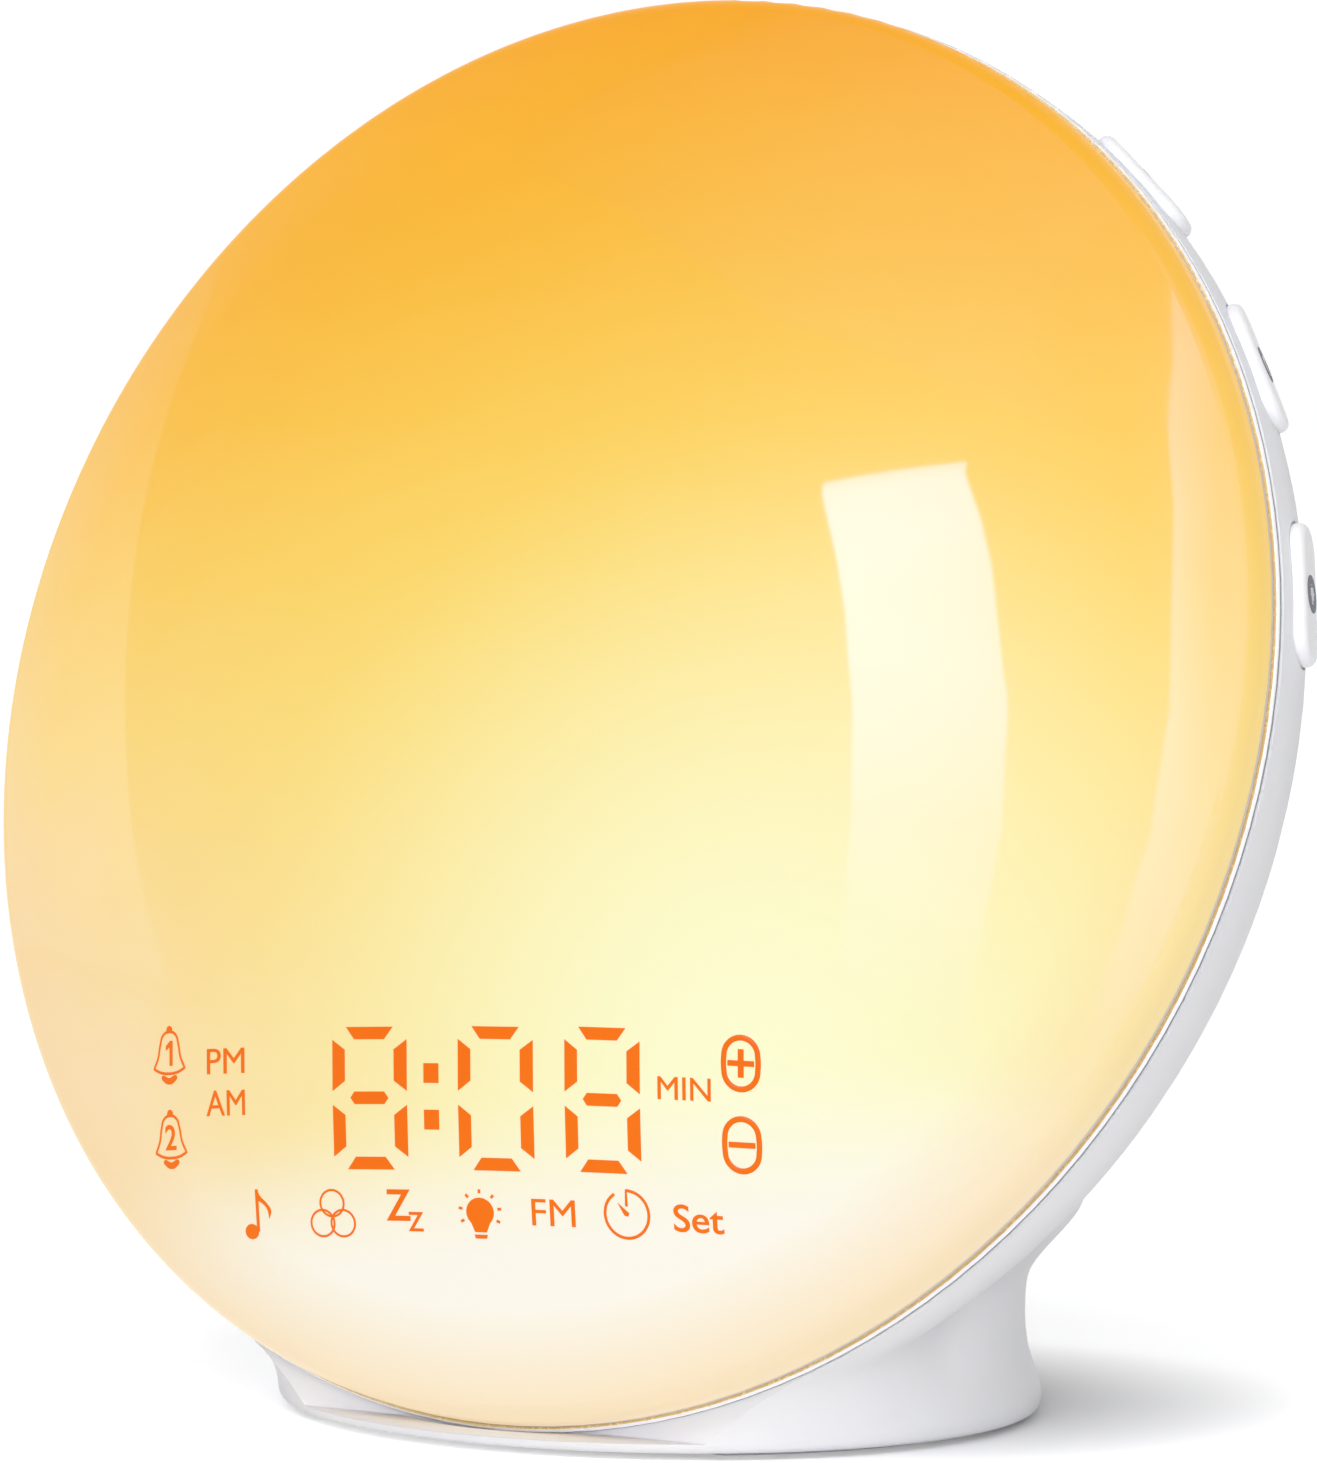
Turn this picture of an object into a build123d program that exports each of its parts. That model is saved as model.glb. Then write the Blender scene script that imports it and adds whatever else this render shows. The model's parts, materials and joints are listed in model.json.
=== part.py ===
# Sunrise alarm clock: a round glowing lens on a bowl-shaped housing that stands on an oval pedestal.
# Millimetres. +Z is up, the front faces -Y, and the origin is the centre of the footprint on the table.
from build123d import *
import math
import os

# Driving sizes: overall form
lens_radius = 87.0          # edge of the glowing lens
lens_height = 24.0          # apex of the dome in front of its rim plane
lens_wall = 2.2
lens_lip = 2.0              # straight band at the lens edge
lens_edge_round = 3.0
disc_tilt = 17.0            # degrees that the face leans back
disc_forward = 10.0         # rim centre in front of the footprint centre
table_gap = 2.2             # lens edge above the table at its lowest
housing_wall = 2.2
housing_overhang = 0.5      # housing radius beyond the lens
rim_straight = 2.4          # straight housing wall behind the trim ring
bowl_depth = 36.0
pad_drop = 2.0              # the rear pad cuts this much off the bowl's bottom
base_half_width = 47.5
base_half_depth = 42.0
waist_height = 12.5
waist_inset = 2.0
toe_height = 1.6            # rounded lower edge of the pedestal
toe_round = 1.0
neck_form = (               # share of the rise above the waist, side inset, rear inset, shift in y
    (0.12, 0.9, 2.6, 0.0), (0.25, -5.5, 5.0, -1.0), (0.38, -11.0, 12.0, -4.0),
    (0.60, -8.0, 22.0, -9.0), (0.80, 6.0, 27.0, -12.0), (1.00, 25.0, 34.0, -14.0))
crown_drop = 27.0           # top of the neck below the disc's centre
blend_radius = 11.0         # concave blend between bowl and neck
foot_height = 0.8           # housing edge above the table
lip_top = 2.0               # top of the thin toe in front of the lens

# Driving sizes: trim ring and front frame
trim_depth = 1.6
trim_width = 2.5
trim_groove = 0.35
trim_groove_depth = 0.8
frame_wall = 1.5
frame_plate = 2.0
frame_plate_depth = 4.0     # front face of the carrier plate behind the rim plane
frame_rim_rise = 2.0
frame_clearance = 0.2
lens_foot = 4.0             # radial width of the lens foot
key_zone = 10.1             # radial room that the side keys need inside the housing

# Driving sizes: boards, lights and display
board_thick = 1.6
board_margin = 0.6
board_gap = 0.8
led_size = 3.0
led_thick = 0.9
led_ring_step = 17.0
led_spacing = 18.0
sheet_thick = 0.8
icon_row_inset = 22.5       # icon row centre from the lens edge
row_spacing = 12.5
digit_width = 11.0
digit_height = 16.0
digit_stroke = 1.8
segment_gap = 0.35          # between neighbouring segments
hour_x = -11.0              # digits' centres: the hour, then two for the minutes
minutes_x = 6.6
digit_pitch = 13.8
colon_cell = (1.9, 1.9)
colon_rise = 2.45           # dots above and below the digit row
bell_x = -41.8
bell_cell = (7.4, 7.6)
bell_rises = (3.6, -6.0)
half_day_x = -32.7          # the two words for the halves of the day
half_day_cell = (6.6, 3.2)
half_day_rises = (2.8, -1.8)
unit_x = 30.1               # the word for minutes
unit_cell = (6.8, 3.2)
unit_rise = 3.4
step_x = 36.9               # plus and minus
step_rises = (6.4, -2.9)
touch_columns = (-27.8, -16.2, -5.9, 4.6, 14.1, 23.4, 32.1)
touch_radius = 2.9
touch_coil = 2.5
touch_wire = 0.45
display_gap = 0.4           # light box behind the lens's inner face
display_left = 48.0
display_right = 43.0
display_top = 11.2          # light box above the digit row's centre

# Driving sizes: side keys
key_length = 17.0
key_width = 6.8
key_proud = 1.0
key_setback = 7.6
key_gap = 0.25
key_travel = 0.55
key_angles = (41.0, 60.0, 79.0)     # degrees from the top of the rim
key_flange = 1.0
key_flange_thick = 0.8
key_flange_drop = 3.6
plunger_radius = 1.6
plunger_length = 1.8
switch_size = 6.0
switch_thick = 2.0
switch_board = (12.0, 7.0, 1.0)
bracket_thick = 1.3
bracket_overhang = 14.5
bracket_tab = 8.0

# Driving sizes: speaker and rear
speaker_radius = 24.5
speaker_depth = 15.8
grille_radius = 24.0
grille_thick = 1.2
grille_hole = 1.1
grille_pitch = 4.4
gasket_thick = 1.0
housing_screw_inset = 24.5
housing_screw_shoulder = 19.0

# Driving sizes: pedestal and base
plate_thick = 2.2
plate_lift = 0.2            # base plate above the housing edge
plate_gap = 0.3
foot_inset = 2.5
foot_width = 4.0
foot_recess = 0.8
base_screw_x = 29.0
base_screw_y = 15.0
base_boss_lift = 2.0
cell_radius = 10.0
cell_thick = 3.2
cover_radius = 13.0
cover_y = -4.0
cover_turn = 45.0           # degrees from locked to free
power_board_height = 11.0
power_board_half = 24.0
power_board_front = 2.0
power_board_rear = 30.0
socket_recess = 5.2
socket_half_width = 17.0
socket_low = 10.0
socket_high = 26.0
jack_x = -9.0
usb_x = 8.0
fit = 0.2                   # clearance between seated covers
pilot_gap = 0.05            # thread stand-in clearance

# Worked-out values
tilt = math.radians(disc_tilt)
disc_centre = (0, -disc_forward, table_gap + lens_radius * math.cos(tilt))
disc = Plane(origin=disc_centre, x_dir=(1, 0, 0), z_dir=(0, -math.cos(tilt), math.sin(tilt)))
housing_radius = lens_radius + housing_overhang
rim_z = -trim_depth
bowl_equator = rim_z - rim_straight
pad_z = bowl_equator - bowl_depth + pad_drop
pad_radius = housing_radius * math.sqrt(1 - (1 - pad_drop / bowl_depth) ** 2)
pad_inner_z = pad_z + housing_wall
dome_radius = ((lens_radius ** 2 + (lens_height - lens_lip) ** 2 - 2 * lens_radius * lens_edge_round)
               / (2 * (lens_height - lens_lip - lens_edge_round)))
dome_centre_z = lens_height - dome_radius
frame_radius = housing_radius - housing_wall - 0.5
frame_inner_radius = housing_radius - key_zone - frame_wall - 0.5
frame_back_z = -frame_plate_depth - frame_plate
board_radius = frame_inner_radius - board_margin
board_top_z = -frame_plate_depth + board_thick
icon_row_y = -(lens_radius - icon_row_inset)
digit_row_y = icon_row_y + row_spacing
board_split_y = digit_row_y + display_top + 2.4
plate_z = foot_height + plate_lift
plate_top_z = plate_z + plate_thick
housing_front_depth = trim_depth + housing_wall
socket_y = base_half_depth - waist_inset - socket_recess
crown_height = disc_centre[2] - crown_drop
below_foot = 6.0            # how far the inner form runs through the foot
grounded = (Align.CENTER, Align.CENTER, Align.MIN)


# Small helpers: every height pair is low, high
def rod(radius, low, high, x=0, y=0):
    return Pos(x, y, low) * Cylinder(radius, high - low, align=grounded)


def tube(outer, inner, low, high, x=0, y=0):
    return rod(outer, low, high, x, y) - rod(inner, low - 1, high + 1, x, y)


def block(x_low, x_high, y_low, y_high, z_low, z_high):
    centre = Pos((x_low + x_high) / 2, (y_low + y_high) / 2, (z_low + z_high) / 2)
    return centre * Box(x_high - x_low, y_high - y_low, z_high - z_low)


def turned(points):
    return revolve(Plane.XZ * make_face(Polyline(*points, close=True)), axis=Axis.Z)


def polar(radius, degrees):
    angle = math.radians(degrees)
    return radius * math.cos(angle), radius * math.sin(angle)


def to_world(shape):
    return disc.location * shape


def screw(head_radius, head_height, shank_radius, shank_length):
    # bearing face at zero, head below it and tip above
    body = rod(head_radius, -head_height, 0) + rod(shank_radius, 0, shank_length)
    slot = Box(2.4 * head_radius / 2, head_radius * 0.28, head_height, align=grounded)
    cross = slot + Rot(0, 0, 90) * slot
    return body - Pos(0, 0, -1.5 * head_height) * cross


def group(shapes):
    return Compound(children=list(shapes))


# Lens: a shallow dome with a tight edge and a straight lip
def dome_arc_end(radius, x):
    return dome_centre_z + math.sqrt(radius ** 2 - x ** 2)


def dome_space(gap):
    return Pos(0, 0, dome_centre_z) * Sphere(dome_radius - lens_wall - gap)


def front_lens():
    edge_centre = (lens_radius - lens_edge_round, lens_lip)
    reach = dome_radius / (dome_radius - lens_edge_round)
    touch = (edge_centre[0] * reach, dome_centre_z + (edge_centre[1] - dome_centre_z) * reach)
    foot_inner = lens_radius - lens_foot
    inner_radius = dome_radius - lens_wall
    bend = math.radians(45)
    edge_middle = (edge_centre[0] + lens_edge_round * math.cos(bend),
                   edge_centre[1] + lens_edge_round * math.sin(bend))
    half = lens_radius / 2
    outline = [
        ThreePointArc((0, lens_height), (half, dome_arc_end(dome_radius, half)), touch),
        ThreePointArc(touch, edge_middle, (lens_radius, lens_lip)),
        Line((lens_radius, lens_lip), (lens_radius, 0)),
        Line((lens_radius, 0), (foot_inner, 0)),
        Line((foot_inner, 0), (foot_inner, dome_arc_end(inner_radius, foot_inner))),
        ThreePointArc((foot_inner, dome_arc_end(inner_radius, foot_inner)),
                      (half, dome_arc_end(inner_radius, half)), (0, lens_height - lens_wall)),
        Line((0, lens_height - lens_wall), (0, lens_height)),
    ]
    return to_world(revolve(Plane.XZ * make_face(outline), axis=Axis.Z))


def trim_ring():
    inner = lens_radius - trim_width + housing_overhang
    neck = lens_radius - trim_groove_depth + housing_overhang
    band = tube(housing_radius, inner, rim_z + trim_groove, -trim_groove)
    band = fillet(band.edges().filter_by(GeomType.CIRCLE).sort_by(SortBy.RADIUS)[-2:], 0.3)
    return to_world(band + tube(neck, inner, rim_z, 0))


# Housing form: bowl and pedestal blended, for any inset from the outer skin
def bowl(inset):
    radius = housing_radius - inset
    depth = bowl_depth - inset
    front = lens_height / 2
    profile = [
        Line((0, front), (radius, front)),
        Line((radius, front), (radius, bowl_equator)),
        EllipticalCenterArc((0, bowl_equator), radius, depth, start_angle=270, arc_size=90),
        Line((0, bowl_equator - depth), (0, front)),
    ]
    return to_world(revolve(Plane.XZ * make_face(profile), axis=Axis.Z))


def pedestal(inset, rounded):
    rise = crown_height - waist_height
    waist = [(foot_height + toe_height, 0.0, 0.0, 0.0),
             ((foot_height + waist_height) / 2, 0.6 * waist_inset, 0.5 * waist_inset, 0.0),
             (waist_height, waist_inset, waist_inset, 0.0)]
    neck = [(waist_height + share * rise, side, rear, forward) for share, side, rear, forward in neck_form]
    if rounded:
        edge = [(foot_height, toe_round, toe_round, 0.0),
                (foot_height + toe_height / 2, 0.15 * toe_round, 0.15 * toe_round, 0.0)]
    else:
        edge = [(foot_height - below_foot, 0.0, 0.0, 0.0)]
    faces = [Pos(0, forward, z) * Ellipse(base_half_width - side - inset, base_half_depth - rear - inset)
             for z, side, rear, forward in edge + waist + neck]
    return loft(faces)


def blended_form(inset, rounded):
    body = bowl(inset) + pedestal(inset, rounded)
    seam = [edge for edge in body.edges().filter_by(GeomType.BSPLINE)
            if edge.bounding_box().min.Z > foot_height + 0.5]
    beyond_pad = rod(pad_radius + 0.5, bowl_equator - bowl_depth - 1, pad_z + inset)
    return fillet(seam, blend_radius + inset) - to_world(beyond_pad)


def in_front_of(depth):
    size = 4 * lens_radius
    return to_world(Pos(0, 0, -depth) * Box(size, size, size, align=grounded))


def housing_shell():
    size = 4 * lens_radius
    above_toe = Pos(0, 0, lip_top) * Box(size, size, size, align=grounded)
    outer = blended_form(0, True) - (in_front_of(trim_depth) & above_toe)
    outer -= to_world(rod(housing_radius + 0.4, rim_z, 2 * lens_height))
    outer -= Pos(0, 0, foot_height - size) * Box(size, size, size, align=grounded)
    bore = to_world(rod(housing_radius - housing_wall, bowl_equator, 2 * lens_height))
    inner = blended_form(housing_wall, False) - (in_front_of(housing_front_depth) - bore)
    return outer, inner


# Side keys: each has its own frame on the rim, x along the rim and z outwards
def key_normal():
    depth = key_setback + bowl_equator
    surface = housing_radius * math.sqrt(1 - (depth / bowl_depth) ** 2)
    lean = math.atan2(depth / bowl_depth ** 2, surface / housing_radius ** 2)
    return surface, lean


def key_place(degrees):
    surface, lean = key_normal()
    angle = math.radians(degrees)
    out = (math.sin(angle), math.cos(angle))
    plane = Plane(origin=(surface * out[0], surface * out[1], -key_setback),
                  x_dir=(out[1], -out[0], 0),
                  z_dir=(out[0] * math.cos(lean), out[1] * math.cos(lean), -math.sin(lean)))
    return disc.location * plane.location


def pill(length, width, low, high):
    return Pos(0, 0, low) * extrude(SlotOverall(length, width), high - low)


def key_cap():
    cap = pill(key_length, key_width, -key_flange_drop, key_proud)
    cap = fillet(cap.edges().group_by(Axis.Z)[-1], 1.0)
    flange = pill(key_length + 2 * key_flange, key_width + 2 * key_flange,
                  -key_flange_drop - key_flange_thick, -key_flange_drop)
    return cap + flange


def key_opening():
    return pill(key_length + 2 * key_gap, key_width + 2 * key_gap, -key_flange_drop - 2, key_proud + 3)


def switch_levels():
    plunger_top = -key_flange_drop - key_flange_thick
    body_top = plunger_top - key_travel - 0.35
    board_top = body_top - switch_thick
    return plunger_top, body_top, board_top


def switch_plunger():
    top = switch_levels()[0]
    return rod(plunger_radius, top - plunger_length, top)


def switch_body():
    plunger_top, body_top, board_top = switch_levels()
    half = switch_size / 2
    floor = plunger_top - plunger_length - key_travel - 0.15
    return (block(-half, half, -half, half, board_top, body_top)
            - rod(plunger_radius + 0.1, floor, body_top + 1))


def switch_pad(grow):
    length, width, thick = switch_board
    top = switch_levels()[2]
    return block(-length / 2 - grow, length / 2 + grow, -width / 2 - grow, width / 2 + grow,
                 top - thick, top + 4 * grow)


def bracket_screw_spots(side):
    first = key_angles[0] - bracket_overhang + 3.5
    last = key_angles[-1] + bracket_overhang - 3.5
    radius = frame_inner_radius - 4.4
    return [polar(radius, 90 - side * angle) for angle in (first, last)]


def key_bracket(side):
    surface, lean = key_normal()
    outer_level = switch_levels()[2] - switch_board[2] + 0.1
    half = switch_board[1] / 2

    def corner(level, across):
        return (surface + level * math.cos(lean) + across * math.sin(lean),
                -key_setback - level * math.sin(lean) + across * math.cos(lean))

    inner_level = outer_level - bracket_thick
    points = [corner(outer_level, half), corner(outer_level, -half),
              corner(inner_level, -half), corner(inner_level, half)]
    sweep = key_angles[-1] - key_angles[0] + 2 * bracket_overhang
    strip = revolve(Plane.XZ * make_face(Polyline(*points, close=True)), axis=Axis.Z, revolution_arc=sweep)
    first = key_angles[0] - bracket_overhang
    start = 90 - first - sweep if side > 0 else 90 + first
    strip = Rot(0, 0, start) * strip
    strip_radius = corner(inner_level, 0)[0]
    for x, y in bracket_screw_spots(side):
        turn = math.degrees(math.atan2(y, x))
        reach = math.hypot(x, y)
        tab = block(reach - 3.6, strip_radius + 0.7, -bracket_tab / 2, bracket_tab / 2,
                    frame_back_z - bracket_thick, frame_back_z)
        strip += Rot(0, 0, turn) * tab
        strip -= rod(1.2, frame_back_z - bracket_thick - 1, frame_back_z + 1, x, y)
    body = to_world(strip)
    for angle in key_angles:
        body -= key_place(side * angle) * switch_pad(0.15)
    return body


def key_nodes():
    nodes = {}
    for side, word in ((1, "right"), (-1, "left")):
        places = [key_place(side * angle) for angle in key_angles]
        for count, place in enumerate(places, start=1):
            nodes[f"key_cap_{word}_{count}"] = place * key_cap()
            nodes[f"switch_plunger_{word}_{count}"] = place * switch_plunger()
        nodes[f"switch_bodies_{word}"] = group(place * switch_body() for place in places)
        nodes[f"switch_boards_{word}"] = group(place * switch_pad(0) for place in places)
        nodes[f"key_bracket_{word}"] = key_bracket(side)
    tab_screw = screw(1.9, 1.1, 1.0 - pilot_gap, 3.0)
    nodes["bracket_screws"] = group(
        to_world(Pos(x, y, frame_back_z - bracket_thick) * tab_screw)
        for side in (1, -1) for x, y in bracket_screw_spots(side))
    return nodes


# Front frame: the carrier behind the lens
def housing_screw_spots():
    radius = lens_radius - housing_screw_inset
    return [polar(radius, angle) for angle in (50, 130, 199, 341)]


def main_board_posts():
    return [(x, y) for x in (-26, 26) for y in (-4, 44)]


def led_screw_spots():
    return [polar(board_radius - 8, angle) for angle in (20, 72, 108, 160)]


def display_face(grow):
    top = digit_row_y + display_top + grow
    bottom = -board_radius - 1
    width = display_left + display_right + 2 * grow
    sheet = Pos((display_right - display_left) / 2, (top + bottom) / 2) * Rectangle(width, top - bottom)
    return sheet & Circle(board_radius + grow / 2)


def front_frame():
    wall_outer = frame_inner_radius + frame_wall
    plate = rod(wall_outer, frame_back_z, -frame_plate_depth)
    wall = tube(wall_outer, frame_inner_radius, -frame_plate_depth, frame_rim_rise)
    flange = tube(frame_radius, frame_inner_radius, rim_z, 0)
    foot_inner = lens_radius - lens_foot - frame_clearance
    ridge = tube(foot_inner, foot_inner - 1.9, 0, 1.4)
    body = plate + wall + flange + ridge
    boss_end = housing_screw_shoulder - 7.0
    for x, y in housing_screw_spots():
        body += rod(4.0, -boss_end, frame_back_z, x, y)
        body -= rod(1.25, -boss_end - 1, -frame_plate_depth - 1, x, y)
    for x, y in main_board_posts():
        body += rod(3.0, frame_back_z - 5.0, frame_back_z, x, y)
        body -= rod(1.0, frame_back_z - 6.0, -frame_plate_depth - 1, x, y)
    for x, y in led_screw_spots() + bracket_screw_spots(1) + bracket_screw_spots(-1):
        body -= rod(1.0, frame_back_z - 1, -frame_plate_depth + 1, x, y)
    body -= ribbon_window()
    return to_world(body)


def ribbon_window():
    return block(-9, 9, board_split_y - 8, board_split_y - 3, frame_back_z - 1, -frame_plate_depth + 1)


# Lights and display
def led_spots():
    spots = [(0.0, 0.0)]
    rings = int((board_radius - led_size) // led_ring_step)
    for ring in range(1, rings + 1):
        radius = ring * led_ring_step
        count = round(2 * math.pi * radius / led_spacing)
        spots += [polar(radius, 90 + 360 * step / count) for step in range(count)]
    keep_above = board_split_y + led_size
    screws = led_screw_spots()
    return [(x, y) for x, y in spots
            if y > keep_above and all(math.hypot(x - u, y - v) > 2 * led_size for u, v in screws)]


def segment_cells():
    # seven segments of one digit as (x, y, turned) about the digit's centre
    half_height = (digit_height - digit_stroke) / 4
    side = (digit_width - digit_stroke) / 2
    level = [(0, row * 2 * half_height, False) for row in (-1, 0, 1)]
    upright = [(column * side, row * half_height, True) for column in (-1, 1) for row in (-1, 1)]
    return level + upright


def segment_face(turned_up):
    run = (digit_height - digit_stroke) / 2 if turned_up else digit_width - digit_stroke
    half = run / 2 - segment_gap
    tip = digit_stroke / 2
    points = [(-half, 0), (-half + tip, tip), (half - tip, tip), (half, 0), (half - tip, -tip), (-half + tip, -tip)]
    face = make_face(Polyline(*points, close=True))
    return Rot(0, 0, 90) * face if turned_up else face


def digit_spots():
    return [hour_x, minutes_x, minutes_x + digit_pitch]


def label_cells():
    # centre and size of each printed word's or figure's light cell
    colon_x = (hour_x + minutes_x) / 2
    cells = [(bell_x, rise, bell_cell) for rise in bell_rises]
    cells += [(half_day_x, rise, half_day_cell) for rise in half_day_rises]
    cells += [(colon_x, rise, colon_cell) for rise in (colon_rise, -colon_rise)]
    cells += [(unit_x, unit_rise, unit_cell)]
    return [(x, digit_row_y + rise, *size) for x, rise, size in cells]


def touch_spots():
    return ([(x, icon_row_y) for x in touch_columns]
            + [(step_x, digit_row_y + rise) for rise in step_rises])


def display_lightbox():
    body = extrude(Pos(0, 0, board_top_z) * display_face(0), lens_height) & dome_space(display_gap)
    depth = Pos(0, 0, board_top_z - 1)
    for x in digit_spots():
        for u, v, turned_up in segment_cells():
            body -= depth * extrude(Pos(x + u, digit_row_y + v) * segment_face(turned_up), 2 * lens_height)
    for x, y, width, height in label_cells():
        body -= depth * extrude(Pos(x, y) * Rectangle(width, height), 2 * lens_height)
    for x, y in touch_spots():
        body -= rod(touch_radius, board_top_z - 1, 2 * lens_height, x, y)
    return to_world(body)


def touch_springs():
    springs = []
    for x, y in touch_spots():
        coil = tube(touch_coil, touch_coil - touch_wire, board_top_z, lens_height, x, y)
        springs.append(to_world(coil & dome_space(display_gap / 2)))
    return group(springs)


def display_leds():
    cells = [(x + u, digit_row_y + v) for x in digit_spots() for u, v, turned_up in segment_cells()]
    cells += [(x, y) for x, y, width, height in label_cells()] + touch_spots()
    return group(to_world(block(x - 0.5, x + 0.5, y - 0.5, y + 0.5, board_top_z, board_top_z + 0.6))
                 for x, y in cells)


def round_board(radius, low_y, high_y):
    window = Pos(0, (low_y + high_y) / 2) * Rectangle(3 * radius, high_y - low_y)
    return extrude(Pos(0, 0, -frame_plate_depth) * (Circle(radius) & window), board_thick)


def light_nodes():
    reach = board_radius + 1
    led_board = round_board(board_radius, board_split_y, reach)
    for x, y in led_screw_spots():
        led_board -= rod(1.2, -frame_plate_depth - 1, board_top_z + 1, x, y)
    display_board = round_board(board_radius, -reach, board_split_y - board_gap)
    leds = group(to_world(block(x - led_size / 2, x + led_size / 2, y - led_size / 2, y + led_size / 2,
                                board_top_z, board_top_z + led_thick)) for x, y in led_spots())
    board_screw = Rot(180, 0, 0) * screw(2.0, 1.2, 1.0 - pilot_gap, board_thick + frame_plate - 0.2)
    sheet_radius = frame_inner_radius + frame_wall - 0.3
    window = extrude(Pos(0, 0, frame_rim_rise - 1) * display_face(display_gap), 3 * sheet_thick)
    sheet = rod(sheet_radius, frame_rim_rise, frame_rim_rise + sheet_thick) - window
    return {
        "led_board": to_world(led_board),
        "sunrise_leds": leds,
        "led_board_screws": group(to_world(Pos(x, y, board_top_z) * board_screw) for x, y in led_screw_spots()),
        "diffuser_sheet": to_world(sheet),
        "display_board": to_world(display_board),
        "display_leds": display_leds(),
        "display_lightbox": display_lightbox(),
        "touch_springs": touch_springs(),
    }


# Main electronics behind the frame
def main_board_nodes():
    front = frame_back_z - 5.0
    back = front - board_thick
    board = block(-30, 30, -8, 48, back, front)
    for x, y in main_board_posts():
        board -= rod(1.2, back - 1, front + 1, x, y)
    board_screw = screw(2.0, 1.2, 1.0 - pilot_gap, board_thick + 4.4)
    sockets = [block(x - 4, x + 4, -8, -3, back - 4.0, back) for x in (-16, 16)]
    sockets.append(block(-8.5, 8.5, -8, -4, back - 2.4, back))
    return {
        "main_board": to_world(board),
        "main_board_screws": group(to_world(Pos(x, y, back) * board_screw) for x, y in main_board_posts()),
        "microcontroller": to_world(block(-14, -2, 24, 36, back - 1.4, back)),
        "radio_module": to_world(block(5, 23, 22, 40, back - 2.4, back)),
        "capacitors": group(to_world(rod(3.2, back - 5.0, back, -21, y)) for y in (8, 16, 36)),
        "board_connectors": group(to_world(socket) for socket in sockets),
    }


# Speaker and its grille on the rear pad
def grille_holes():
    spots = [(0.0, 0.0)]
    rings = int((grille_radius - 4.0) // grille_pitch)
    for ring in range(1, rings + 1):
        spots += [polar(ring * grille_pitch, 360 * step / (6 * ring)) for step in range(6 * ring)]
    return spots


def speaker_screw_spots():
    return [polar(speaker_radius + 2.0, angle) for angle in (45, 135, 225, 315)]


def speaker_nodes():
    grille = rod(grille_radius, pad_z, pad_z + grille_thick)
    for x, y in grille_holes():
        grille -= rod(grille_hole, pad_z - 1, pad_z + grille_thick + 1, x, y)
    seat = pad_inner_z + gasket_thick
    flange_top = seat + 1.2
    back = seat + speaker_depth - 5.0
    throat = 0.55 * speaker_radius
    mouth = speaker_radius - 4.0
    basket = turned([(mouth, seat), (speaker_radius, seat), (speaker_radius, flange_top),
                     (mouth + 1.3, flange_top), (throat, back), (0, back), (0, back - 1.2),
                     (throat - 0.9, back - 1.2), (mouth, flange_top - 0.3)])
    cone_back = back - 3.4
    coil = 0.25 * speaker_radius
    cone = turned([(mouth - 0.2, seat + 0.1), (mouth - 0.2, seat + 0.5), (coil, cone_back), (coil, back - 1.3),
                   (coil - 0.6, back - 1.3), (coil - 0.6, cone_back - 0.6), (0, cone_back - 2.2),
                   (0, cone_back - 2.8), (coil, cone_back - 1.2)])
    ear_screw = Rot(180, 0, 0) * screw(1.9, 1.1, 1.0 - pilot_gap, 2.8)
    for x, y in speaker_screw_spots():
        basket += rod(3.2, seat, flange_top, x, y)
        basket -= rod(1.2, seat - 1, flange_top + 1, x, y)
    return {
        "speaker_grille": to_world(grille),
        "speaker_gasket": to_world(tube(speaker_radius - 1.5, speaker_radius - 4.5, pad_inner_z, seat)),
        "speaker_basket": to_world(basket),
        "speaker_cone": to_world(cone),
        "speaker_magnet": to_world(rod(throat + 0.6, back, back + 5.0)),
        "speaker_screws": group(to_world(Pos(x, y, flange_top) * ear_screw) for x, y in speaker_screw_spots()),
    }


# Rear housing: the shell with everything moulded into it
def base_screw_spots():
    return [(x, y) for x in (-base_screw_x, base_screw_x) for y in (-base_screw_y, base_screw_y)]


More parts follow.
